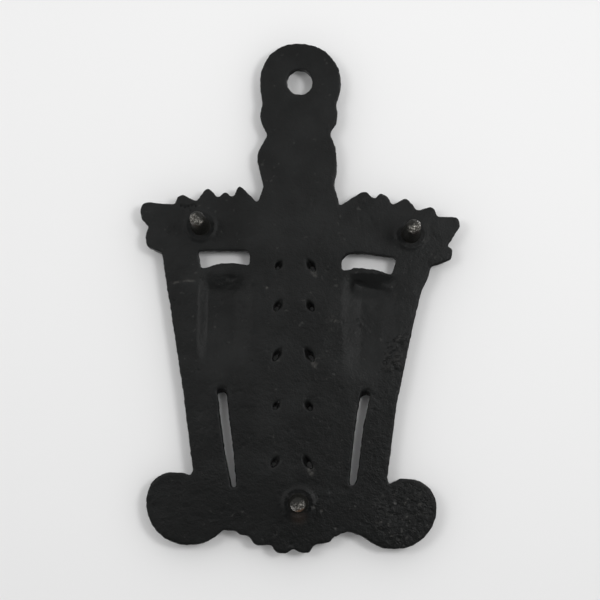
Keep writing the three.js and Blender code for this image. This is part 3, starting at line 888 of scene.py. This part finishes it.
SCRATCH_TOP = (43.5, 4.4)
SCRATCH_BEND = 0.028  # how far it falls, times the square of the way from its top
SCRATCH_SPAN = (40.6, 42.4, 48.8, 51.0)
SCRATCH_HALF_WIDTH = 0.34
SCRATCH_DEPTH = 0.12
SCRATCH_WEAR = 0.60


def scratch(x, y):
    """A curved scratch on the right side bar: 1 along its middle."""
    line = SCRATCH_TOP[1] - SCRATCH_BEND * (x - SCRATCH_TOP[0]) ** 2
    return ridge(y - line, SCRATCH_HALF_WIDTH) * window(x, *SCRATCH_SPAN)


SCAR_CENTRE = (-37.6, -23)
SCAR_LEAN = 0.28
SCAR_SIDES = (2.4, 4.6)  # from its middle line to where it starts to fade, and to its edge
SCAR_ENDS = (5.5, 8.5)
SCAR_DEPTH = 0.45
SCAR_SHIFT = 0.25  # added to its noise, which is then kept to these limits
SCAR_LIMITS = (-0.8, 1.2)
SCAR_WEAR = 0.10


def scar(x, y):
    """Where the left side bar was chipped out of its mould: 1 inside."""
    middle_x = SCAR_CENTRE[0] - SCAR_LEAN * (y - SCAR_CENTRE[1])
    across = 1 - ramp(np.abs(x - middle_x), *SCAR_SIDES)
    return across * (1 - ramp(np.abs(y - SCAR_CENTRE[1]), *SCAR_ENDS))


LEAF_CHIPS = [(-6.0, 8.3), (-6.8, -28.3), (-6.0, -69.9)]
LEAF_CHIP_REACH = (1.3, 1.6)  # from its middle to its upper end
LEAF_CHIP_HALF_WIDTH = 1.2
LEAF_CHIP_EDGE = (0.55, 1.0)
LEAF_CHIP_WEAR = 0.45


def leaf_chips(x, y):
    """Slanted chips beside three of the leaf holes: 1 inside."""
    chips = []
    for east, north in LEAF_CHIPS:
        start = (east + LEAF_CHIP_REACH[0], north + LEAF_CHIP_REACH[1])
        end = (east - LEAF_CHIP_REACH[0], north - LEAF_CHIP_REACH[1])
        along, across = local(x, y, start, end)
        out = np.hypot(along, across / LEAF_CHIP_HALF_WIDTH)
        chips.append(1 - ramp(out, *LEAF_CHIP_EDGE))
    return np.max(chips, axis=0)


LEFT_WALL_EDGE = (-21.8, 6.9)
LEFT_WALL_SLOPE = 0.22
LEFT_WALL_DEPTH = 1.2
LEFT_WALL_BELOW = (0, 2.6, 2.6, 9.0)  # from its edge
LEFT_WALL_SPAN = (20.0, 22.6, 31.0, 38.5)  # of -x
RIGHT_WALL_EDGE = (29, 7.4)
RIGHT_WALL_BEND = 0.02
RIGHT_WALL_DEPTH = 0.45
RIGHT_WALL_BELOW = (0, 1.6, 2.0, 6.5)
RIGHT_WALL_SPAN = (21.5, 25.0, 33.0, 36.0)
PATCH_NOISE = (4.0, 21)  # size and seed
PATCH_EDGE = (-0.1, 0.5)


def hollow_tops(x, y):
    """How much deeper the hollows are under their sharper upper walls, in millimetres."""
    below = LEFT_WALL_EDGE[1] + LEFT_WALL_SLOPE * (x - LEFT_WALL_EDGE[0]) - y
    left = window(below, *LEFT_WALL_BELOW)
    left *= window(-x, *LEFT_WALL_SPAN)
    below = RIGHT_WALL_EDGE[1] - RIGHT_WALL_BEND * (x - RIGHT_WALL_EDGE[0]) ** 2 - y
    patches = ramp(ripple(flat_points(x, y), *PATCH_NOISE), *PATCH_EDGE)
    right = window(below, *RIGHT_WALL_BELOW) * patches
    right *= window(x, *RIGHT_WALL_SPAN)
    return LEFT_WALL_DEPTH * left + RIGHT_WALL_DEPTH * right


FOOT_RING_RADIUS = 5.7
FOOT_RING_HALF_WIDTH = 0.36
FOOT_RING_HEIGHT = 0.22


def foot_rings(x, y):
    """The height of the faint raised ring round each foot, in millimetres."""
    rings = []
    for node in FEET:
        middle = node_middle(node)
        out = np.hypot(x - middle[0], y - middle[1])
        rings.append(ridge(out - FOOT_RING_RADIUS, FOOT_RING_HALF_WIDTH))
    return FOOT_RING_HEIGHT * np.max(rings, axis=0)


# Noises over the back, each as the size of its features, a seed and octaves.
ROUGH = (1.7, 11, 3)
PITTED = (1.4, 12, 2)
SPARSE = (2.1, 13)
SPECKS = (1.0, 14)

# The values of a noise or a mark from which something starts, and from which it is whole.
CHIP_RANGE = (0.25, 0.5)
PIT_RANGE = (0.30, 0.55)
DIMPLE_RANGE = (0.55, 0.85)
SCAR_WEAR_RANGE = (0.0, 0.4)
BALL_RANGE = (0.2, 0.6)
SPECK_RANGE = (0.44, 0.58)
HIGH_SPOT_RANGE = (0.68, 0.9)


def back_marks(x, y):
    """How sunk and how worn the back is, where a gas hole is, and where the skin is pocked."""
    flat = flat_points(x, y)
    rough, pitted, sparse, specks = [
        ripple(flat, *layer) for layer in (ROUGH, PITTED, SPARSE, SPECKS)
    ]
    ball = spot(x, y, ROUGH_BALL, ROUGH_BALL_RADIUS)
    scarred = scar(x, y)
    scratched = scratch(x, y)
    nicked = spots(x, y, NICKS, NICK_RADIUS)
    blown = spots(x, y, BLOW_HOLES, BLOW_HOLE_RADIUS)
    chipped = spot(x, y, CHIPPED_PATCH, CHIPPED_RADIUS) * ramp(pitted, *CHIP_RANGE)

    pits = BALL_PIT_DEPTH * ramp(pitted, *PIT_RANGE)
    lumps = BALL_LUMP_HEIGHT * ramp(-pitted, *PIT_RANGE)
    sink = BLOW_HOLE_DEPTH * blown + hollow_tops(x, y) - foot_rings(x, y)
    sink += SCAR_DEPTH * scarred * np.clip(rough + SCAR_SHIFT, *SCAR_LIMITS)
    sink += ball * (pits - lumps)
    sink += DIMPLE_DEPTH * ramp(sparse, *DIMPLE_RANGE)
    sink += SCRATCH_DEPTH * scratched + NICK_DEPTH * nicked
    wear = np.max([
        SCRATCH_WEAR * scratched,
        CHIP_WEAR * chipped,
        SCAR_WEAR * scarred * ramp(-rough, *SCAR_WEAR_RANGE),
        BALL_WEAR * ramp(ball, *BALL_RANGE) * ramp(specks, *SPECK_RANGE),
        HIGH_SPOT_WEAR * ramp(-sparse, *HIGH_SPOT_RANGE),
        NICK_WEAR * nicked,
        LEAF_CHIP_WEAR * leaf_chips(x, y),
    ], axis=0)
    return sink, wear, blown, np.maximum(BALL_POCKS * ball, scarred)


def rust_stain(x, y):
    """Rust that has run from the front foot towards the lower edge: 1 where it is strongest."""
    middle = node_middle("foot_front")
    return spot(x, y, (middle[0] + RUST_OFFSET[0], middle[1] + RUST_OFFSET[1]), RUST_RADIUS)


HOLLOW_TOP = 8.8
HOLLOW_FADE = (14.0, 34.5)  # how far below y = 0 the hollows fade out
HOLLOW_CENTRE_X = 28.6
HOLLOW_REACH = 13.5
HOLLOW_ROWS = (-37, 8.4)  # between these values of y the floors are shaped anew
HOLLOW_FACING = -0.4
HOLLOW_END_Z = BACK_Z + 2.6

# Each hollow's depth, its sides in x, and how wide its walls are at the -X side, +X side and top.
RIGHT_HOLLOW = (1.7, (17.0, 40.4), (9.5, 5.0, 9.0))
LEFT_HOLLOW = (2.1, (-40.6, -16.6), (10.0, 9.0, 4.5))


def hollow(x, y, depth, sides, walls):
    """How far one hollow sinks into the back, before it fades out."""
    sunk = depth * ramp(sides[1] - x, 0.0, walls[1])
    return sunk * ramp(x - sides[0], 0.0, walls[0]) * ramp(HOLLOW_TOP - y, 0.0, walls[2])


def hollow_depth(x, y):
    """How far the two hollows behind the tassels sink into the back, with walls that fade out."""
    down = 1 - ramp(-y, *HOLLOW_FADE)
    return (hollow(x, y, *RIGHT_HOLLOW) + hollow(x, y, *LEFT_HOLLOW)) * down


def shape_hollows(points, normals):
    """Lays the back face of the two hollows along their smooth shape."""
    x, y, z = points.T
    inside = np.abs(np.abs(x) - HOLLOW_CENTRE_X) < HOLLOW_REACH
    inside &= (y > HOLLOW_ROWS[0]) & (y < HOLLOW_ROWS[1])
    floor = inside & (normals[:, 2] < HOLLOW_FACING) & (z < HOLLOW_END_Z)
    shaped = points.copy()
    shaped[floor, 2] = BACK_Z + hollow_depth(x[floor], y[floor])
    return shaped


BACK_END_Z = BACK_Z + 3.2


def mark_back(points, normals):
    """Sinks the marks into the back: the new points, and how worn each is, how dark its painted
    shade is, and how pocked it is.
    """
    back = (normals[:, 2] < -FACING[0]) & (points[:, 2] < BACK_END_Z)
    sink, wear, blown, rough = back_marks(points[back, 0], points[back, 1])
    facing = ramp(-normals[back, 2], *FACING)
    marked = points.copy()
    marked[back, 2] += sink * facing
    worn = np.zeros(len(points))
    worn[back] = wear * facing
    recess_shade = np.zeros(len(points))
    # The gas holes are painted dark, as shade.
    recess_shade[back] = ramp(blown, *BLOW_HOLE_SHADE)
    pocked = np.zeros(len(points))
    pocked[back] = rough * facing
    return marked, worn, recess_shade, pocked


OPENING_ROWS = (-78.5, 18)
OPENING_REACHES = (41.5, 34.0)  # from x = 0, above y = 0 and below it
OPENING_HEIGHTS = (0.3, 1.4, 5.0, 7.5)  # above the back
OPENING_FACING = (0.55, 0.85)  # the normal's Z over which a point stops being on a wall


def inside_openings(points, normals):
    """1 on the walls of the slots and the leaf holes, which are painted near black as shade, and
    made matt.
    """
    x, y, z = points.T
    steep = 1 - ramp(np.abs(normals[:, 2]), *OPENING_FACING)
    reach = np.where(y > 0, *OPENING_REACHES)
    near = (np.abs(x) < reach) & (y > OPENING_ROWS[0]) & (y < OPENING_ROWS[1])
    return steep * near * window(z - BACK_Z, *OPENING_HEIGHTS)


# ---- the plate

WELD_METRES = 1e-7
CUT_Z = FACE_Z - 0.02


def base_of_plate():
    """The CAD plate cut off level with its front face, so without its decoration."""
    plate = in_scene("iron_plate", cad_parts["plate"].data.copy())
    cutter = bmesh.new()
    cutter.from_mesh(plate.data)
    bmesh.ops.remove_doubles(cutter, verts=cutter.verts, dist=WELD_METRES)
    found = bmesh.ops.bisect_plane(
        cutter,
        geom=cutter.verts[:] + cutter.edges[:] + cutter.faces[:],
        plane_co=(0, 0, CUT_Z * MM),
        plane_no=(0, 0, 1),
        clear_outer=True,
    )
    rim = [e for e in found["geom_cut"] if isinstance(e, bmesh.types.BMEdge)]
    bmesh.ops.triangle_fill(cutter, edges=rim, use_beauty=False, normal=(0, 0, 1))
    cutter.to_mesh(plate.data)
    cutter.free()
    return plate


SKIN_RISE = 0.05
# Layers of the cast skin: height and size of the features, and the seed.
SKIN_WAVES = [(0.12, 14.0, 1), (0.07, 4.5, 2)]
SKIN_GRAIN = [(0.045, 1.7, 3), (0.03, 0.95, 6)]
EDGE_NIBBLES = [(0.20, 2.1, 7), (0.14, 1.2, 8)]


def layered(points, layers):
    return sum(height * ripple(points, size, seed) for height, size, seed in layers)


def cast_skin(points, normals):
    """Height of the as-cast surface: slow waves, a sandy grain, and edges a little nibbled."""
    edge = 1 - ramp(np.abs(normals[:, 2]), *FACING)
    skin = SKIN_RISE + layered(points, SKIN_WAVES) + layered(points, SKIN_GRAIN)
    return skin + edge * layered(points, EDGE_NIBBLES)


PLATE_VOXEL = 0.5
PLATE_TRIANGLES = 195000
STAIN_END_Z = BACK_Z + 1.0


def build_plate(material):
    plate = base_of_plate()
    remesh(plate, PLATE_VOXEL)
    edges = edges_of(plate)
    set_points(plate, smoothed(points_of(plate), edges, passes=2))
    set_points(plate, raise_decoration(points_of(plate), normals_of(plate)))
    set_points(plate, smoothed(points_of(plate), edges, passes=1))
    set_points(plate, shape_hollows(points_of(plate), normals_of(plate)))
    marked, worn, recess_shade, pocked = mark_back(points_of(plate), normals_of(plate))
    set_points(plate, marked)
    points, normals = points_of(plate), normals_of(plate)
    set_points(plate, points + normals * cast_skin(points, normals)[:, None])
    set_attribute(plate, "wear", worn)
    set_attribute(plate, "pocked", pocked)
    on_back = points[:, 2] < STAIN_END_Z
    set_attribute(plate, "stain", rust_stain(points[:, 0], points[:, 1]) * on_back)
    # Painted shade: near black on the walls of the openings and in the gas holes.
    set_attribute(plate, "recess_shade", np.maximum(recess_shade, inside_openings(points, normals)))
    thin_out(plate, PLATE_TRIANGLES)
    plate.data.materials.clear()
    plate.data.materials.append(material)
    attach(plate, "root")
    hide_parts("plate")
    return plate


# ---- the feet

TOP_RADIUS = 3.5
TIP_RADIUS = 2.8
TIP_HEIGHT = 1.9
FOOT_FLARE = 0.7
FOOT_FLARE_START = 1.5  # below the seat
FOOT_FLARE_HEIGHT = 1.6
SEGMENTS = 56
TIP_RINGS = 16
SHANK_RINGS = 40
FLARE_RINGS = 10
SHANK_START = 0.03  # share of the shank's length, just above the tip
FLARE_START = 0.1  # in radians
FOOT_LUMPS = (0.05, 3.0, 4)  # height, size and seed
FOOT_PITS_SIZE = 1.1
FOOT_PITS_SEED = 5
SHANK_PITS = 0.03
TIP_PITS = 0.16  # more than on the shank
TIP_PITS_HEIGHTS = (1.5, 6.0)  # these pits fade out between these heights
FLAT_HEIGHTS = (0.0, 0.6)  # and the roughness fades in
WORN_HEIGHTS = (1.6, 3.4)
RUST_HEIGHTS = (2.5, 8.0)
LEAST_WEAR = 0.06
# The worn side is also painted brighter as a highlight, and the far side is kept dark as painted
# shade.
WORN_HIGHLIGHT_SIDE = (-0.6, 0.4)  # towards the worn side, in tip radii
WORN_RIM = (0.62, 0.92)
RUST_SIDE = (0.5, 0.8)

# For each foot, the side of its tip that is worn to bare iron and painted brighter as a
# highlight, how bright that is, and how rusty it is.
FOOT_LOOKS = {
    "foot_right": ((0.5, -0.8), 1.0, 0.15),
    "foot_left": ((-0.5, -0.8), 1.0, 0.05),
    "foot_front": ((-0.3, -0.9), 0.8, 0.9),
}


def foot_profile(seat):
    """Radius and height pairs from beside the middle of the tip to the seat."""
    tip = [
        (TIP_RADIUS * math.sin(t), TIP_HEIGHT * (1 - math.cos(t)))
        for t in np.linspace(0.0, math.pi / 2, TIP_RINGS)
    ]
    length = seat - (TIP_HEIGHT + FOOT_FLARE_START)
    shank = [
        (TIP_RADIUS + (TOP_RADIUS - TIP_RADIUS) * t, TIP_HEIGHT + length * t)
        for t in np.linspace(SHANK_START, 1.0, SHANK_RINGS)
    ]
    flare = [
        (
            TOP_RADIUS + FOOT_FLARE * (1 - math.cos(t)),
            seat - FOOT_FLARE_START + FOOT_FLARE_HEIGHT * math.sin(t),
        )
        for t in np.linspace(FLARE_START, math.pi / 2, FLARE_RINGS)
    ]
    return tip[1:] + shank + flare


def turned_points(profile, middle):
    """The points of a profile turned round a vertical axis, with one on the axis at each end."""
    points = [(0.0, 0.0, 0.0)]
    for radius, height in profile:
        for step in range(SEGMENTS):
            angle = 2 * math.pi * step / SEGMENTS
            points.append((radius * math.cos(angle), radius * math.sin(angle), height))
    points.append((0.0, 0.0, profile[-1][1]))
    points = np.array(points)
    points[:, :2] += middle[:2]
    return points


def turned_faces(rings):
    """The faces between the points that turned_points() makes from that many rings."""
    faces = [(0, 1 + (k + 1) % SEGMENTS, 1 + k) for k in range(SEGMENTS)]
    for ring in range(rings - 1):
        start = 1 + ring * SEGMENTS
        above = start + SEGMENTS
        for k in range(SEGMENTS):
            after = (k + 1) % SEGMENTS
            faces.append((start + k, start + after, above + after, above + k))
    start = 1 + (rings - 1) * SEGMENTS
    last = 1 + rings * SEGMENTS
    faces += [(start + k, start + (k + 1) % SEGMENTS, last) for k in range(SEGMENTS)]
    return faces


def foot_skin(points):
    """Height of a foot's rough surface, which is roughest at the tip and flat underneath."""
    height, size, seed = FOOT_LUMPS
    tip = 1 - ramp(points[:, 2], *TIP_PITS_HEIGHTS)
    pits = (SHANK_PITS + TIP_PITS * tip) * ripple(points, FOOT_PITS_SIZE, FOOT_PITS_SEED)
    return (height * ripple(points, size, seed) + pits) * ramp(points[:, 2], *FLAT_HEIGHTS)


def build_foot(node, material, worn_highlight_towards, brightness, rust):
    middle = node_middle(node)
    profile = foot_profile(BACK_Z - BOSS_HEIGHT)
    points = turned_points(profile, middle)
    foot = make_object("iron_" + node, points, turned_faces(len(profile)))
    for polygon in foot.data.polygons:
        polygon.use_smooth = True
    set_points(foot, points + normals_of(foot) * foot_skin(points)[:, None])
    # Bare iron at the tip, mostly on one side, which also stands for a painted highlight; the far
    # side stays dark as painted shade.
    side = (points[:, :2] - middle[:2]) @ np.array(worn_highlight_towards) / TIP_RADIUS
    wear = 1 - ramp(points[:, 2], *WORN_HEIGHTS)
    wear = wear * (LEAST_WEAR + (1 - LEAST_WEAR) * ramp(side, *WORN_HIGHLIGHT_SIDE))
    wear *= 1 - ramp(side, *WORN_RIM)
    set_attribute(foot, "wear", brightness * wear)
    rusted = ramp(side, *RUST_SIDE) * (1 - ramp(points[:, 2], *RUST_HEIGHTS))
    set_attribute(foot, "rust", rust * rusted)
    foot.data.materials.append(material)
    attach(foot, "root")
    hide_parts(node)
    return foot


# ---- floor, backdrop, light, camera


PALE_SKY = 0.86  # what the camera sees of the sky, and of the paper far off
HAZE_START = 230.0
HAZE_END = 560.0
STAGE_HALF = 4000.0
PAPER = (0.80, 0.80, 0.80)
MOTTLE_NOISE = (9, 3)
MOTTLE_SHADE = 0.985
# Painted shade: the paper is darker towards -Y, on the backdrop but not on the floor.
FLOOR_FALL_OFF = 1.0  # how bright the paper's -Y side is, against its +Y side
BACKDROP_FALL_OFF = 0.91
FALL_OFF = (4.2, 0.5)  # per metre along Y, and at the middle


def scaled(colour, factor):
    return tuple(factor * part for part in colour)


def mottled_paper(tree, place, fall_off):
    """Faintly mottled matt paper, painted darker towards -Y as shade."""
    mottle = noise_texture(tree, place, *MOTTLE_NOISE)
    mottled = mixed(tree, mottle, scaled(PAPER, MOTTLE_SHADE), PAPER)
    north = split(tree, place)["Y"]
    share = maths(tree, "MULTIPLY_ADD", north, *FALL_OFF, clamp=True)
    paper = tree.nodes.new("ShaderNodeBsdfDiffuse")
    tree.links.new(mixed(tree, share, scaled(PAPER, fall_off), mottled), paper.inputs["Color"])
    return paper.outputs["BSDF"]


def mixed_shaders(tree, share, first, second):
    """A surface between two surfaces."""
    node = tree.nodes.new("ShaderNodeMixShader")
    tree.links.new(share, node.inputs["Fac"])
    tree.links.new(first, node.inputs[1])
    tree.links.new(second, node.inputs[2])
    return node.outputs["Shader"]


def one_way_paper(name, fall_off):
    """Paper that shows only to the camera, and only from the front, and pales far off."""
    material, tree = new_material(name)
    tree.nodes.remove(tree.nodes["Principled BSDF"])
    place = tree.nodes.new("ShaderNodeTexCoord").outputs["Object"]
    paper = mottled_paper(tree, place, fall_off)
    far_off = tree.nodes.new("ShaderNodeVectorMath")
    far_off.operation = "LENGTH"
    tree.links.new(place, far_off.inputs[0])
    haze = eased(tree, far_off.outputs["Value"], (HAZE_START * MM, 0.0), (HAZE_END * MM, 1.0))
    pale = tree.nodes.new("ShaderNodeEmission")
    pale.inputs["Strength"].default_value = PALE_SKY
    hazy_paper = mixed_shaders(tree, haze, paper, pale.outputs["Emission"])

    clear = tree.nodes.new("ShaderNodeBsdfTransparent").outputs["BSDF"]
    seen = tree.nodes.new("ShaderNodeLightPath").outputs["Is Camera Ray"]
    behind = tree.nodes.new("ShaderNodeNewGeometry").outputs["Backfacing"]
    front = maths(tree, "SUBTRACT", 1.0, behind)
    share = maths(tree, "MULTIPLY", seen, front)
    surface = mixed_shaders(tree, share, clear, hazy_paper)
    tree.links.new(surface, tree.nodes["Material Output"].inputs["Surface"])
    return material


def sheet_of_paper(name, z, face, material):
    """A square sheet at a height, which faces up where its face is (0, 1, 2, 3)."""
    corners = [(-STAGE_HALF, -STAGE_HALF, z), (STAGE_HALF, -STAGE_HALF, z)]
    corners += [(STAGE_HALF, STAGE_HALF, z), (-STAGE_HALF, STAGE_HALF, z)]
    sheet = make_object(name, corners, [face])
    sheet.data.materials.append(material)
    return sheet


def build_stage():
    """A floor under the feet, and a backdrop on which the decorated face would lie."""
    floor_paper = one_way_paper("floor_paper", FLOOR_FALL_OFF)
    floor = sheet_of_paper("floor", 0, (0, 1, 2, 3), floor_paper)
    backdrop_paper = one_way_paper("backdrop_paper", BACKDROP_FALL_OFF)
    backdrop = sheet_of_paper("backdrop", TOP_Z, (3, 2, 1, 0), backdrop_paper)


SKY_STRENGTH = 0.965
SKY_TOWARDS_HANDLE = 0.30  # how much brighter the sky is on the +Y side
ZENITH = (0.8, 0.06)  # height from which it is dark, so the openings pass no light
ZENITH_FADE = (0.35, 1.0)  # height and strength where it starts to darken
DARK_SPOT = (0.12, -0.34, -0.933)  # towards the dark side of the room, behind the camera
SPOT_MIDDLE = (1.0, 0.08)  # cosine of the angle from that direction, and strength there
SPOT_EDGE = (0.70, 1.0)


def build_sky():
    """A pale surround, brighter towards the handle, dark overhead and behind the camera."""
    world = bpy.data.worlds.new("studio")
    world.use_nodes = True
    tree = world.node_tree
    place = tree.nodes.new("ShaderNodeTexCoord").outputs["Generated"]
    direction = split(tree, place)
    tilt = maths(tree, "MULTIPLY_ADD", direction["Y"], SKY_TOWARDS_HANDLE, 1.0)
    overhead = eased(tree, direction["Z"], ZENITH_FADE, ZENITH)
    towards = tree.nodes.new("ShaderNodeVectorMath")
    towards.operation = "DOT_PRODUCT"
    tree.links.new(place, towards.inputs[0])
    towards.inputs[1].default_value = DARK_SPOT
    behind = eased(tree, towards.outputs["Value"], SPOT_MIDDLE, SPOT_EDGE)
    open_sky = maths(tree, "MULTIPLY", behind, overhead)
    share = maths(tree, "MULTIPLY", tilt, open_sky)
    strength = maths(tree, "MULTIPLY", share, SKY_STRENGTH)
    seen = tree.nodes.new("ShaderNodeLightPath").outputs["Is Camera Ray"]
    unseen = maths(tree, "SUBTRACT", 1.0, seen)
    lighting = maths(tree, "MULTIPLY", strength, unseen)
    shown = maths(tree, "MULTIPLY_ADD", seen, PALE_SKY, lighting)
    tree.links.new(shown, tree.nodes["Background"].inputs["Strength"])
    tree.nodes["Background"].inputs["Color"].default_value = (1.0, 1.0, 1.0, 1.0)
    bpy.context.scene.world = world


# Soft lights, each with its place, width, height and watts. All are aimed at the plate's middle.
LIGHTS = {
    "key_below": ((-290, 60, -575), 150, 150, 1.2),
    "fill_below": ((300, 60, -575), 200, 200, 0.72),
    "back_above": ((-450, 450, 420), 500, 300, 3.0),
    "front_above": ((450, -450, 420), 500, 300, 3.0),
}


def softbox(name, place, aim, width, height, watts):
    light = bpy.data.lights.new(name, "AREA")
    light.shape = "RECTANGLE"
    light.size = width * MM
    light.size_y = height * MM
    light.energy = watts
    obj = in_scene(name, light)
    obj.location = Vector(place) * MM
    direction = (Vector(aim) - Vector(place)).normalized()
    obj.rotation_mode = "QUATERNION"
    obj.rotation_quaternion = direction.to_track_quat("-Z", "Y")
    obj.visible_camera = False


def build_lights():
    for name, (place, width, height, watts) in LIGHTS.items():
        softbox(name, place, (0, 0, BACK_Z), width, height, watts)


VIEW_DISTANCE = 593.4
VIEW_TILT = math.radians(6.57)  # the line of sight leans this far towards the handle
VIEW_LEAN = math.radians(0.80)  # and this far to +X
VIEW_ROLL = math.radians(1.0)
VIEW_AIM = (-0.6, -2.6)
LENS = 90.0
SENSOR_WIDTH = 36.0
NEAREST = 10.0
FURTHEST = 10000.0


def build_camera():
    data = bpy.data.cameras.new("camera")
    data.lens = LENS
    data.sensor_width = SENSOR_WIDTH
    data.clip_start = NEAREST * MM
    data.clip_end = FURTHEST * MM
    camera = in_scene("camera", data)
    east, north = math.sin(VIEW_LEAN), math.sin(VIEW_TILT)
    sight = Vector((east, north, math.sqrt(1 - east ** 2 - north ** 2)))
    aim = Vector((*VIEW_AIM, BACK_Z))
    across = sight.cross(Vector((0, 1, 0))).normalized()
    upward = across.cross(sight)
    turned = Matrix((across, upward, -sight)).transposed()
    roll = Matrix.Rotation(VIEW_ROLL, 3, "Z")
    place = Matrix.Translation((aim - sight * VIEW_DISTANCE) * MM)
    camera.matrix_world = place @ (turned @ roll).to_4x4()
    bpy.context.scene.camera = camera


# ---- the scene

build_camera()
build_stage()
build_sky()
build_lights()
bpy.context.scene.view_settings.view_transform = "Standard"

build_plate(painted_iron())
iron = worn_iron()
for node, looks in FOOT_LOOKS.items():
    build_foot(node, iron, *looks)
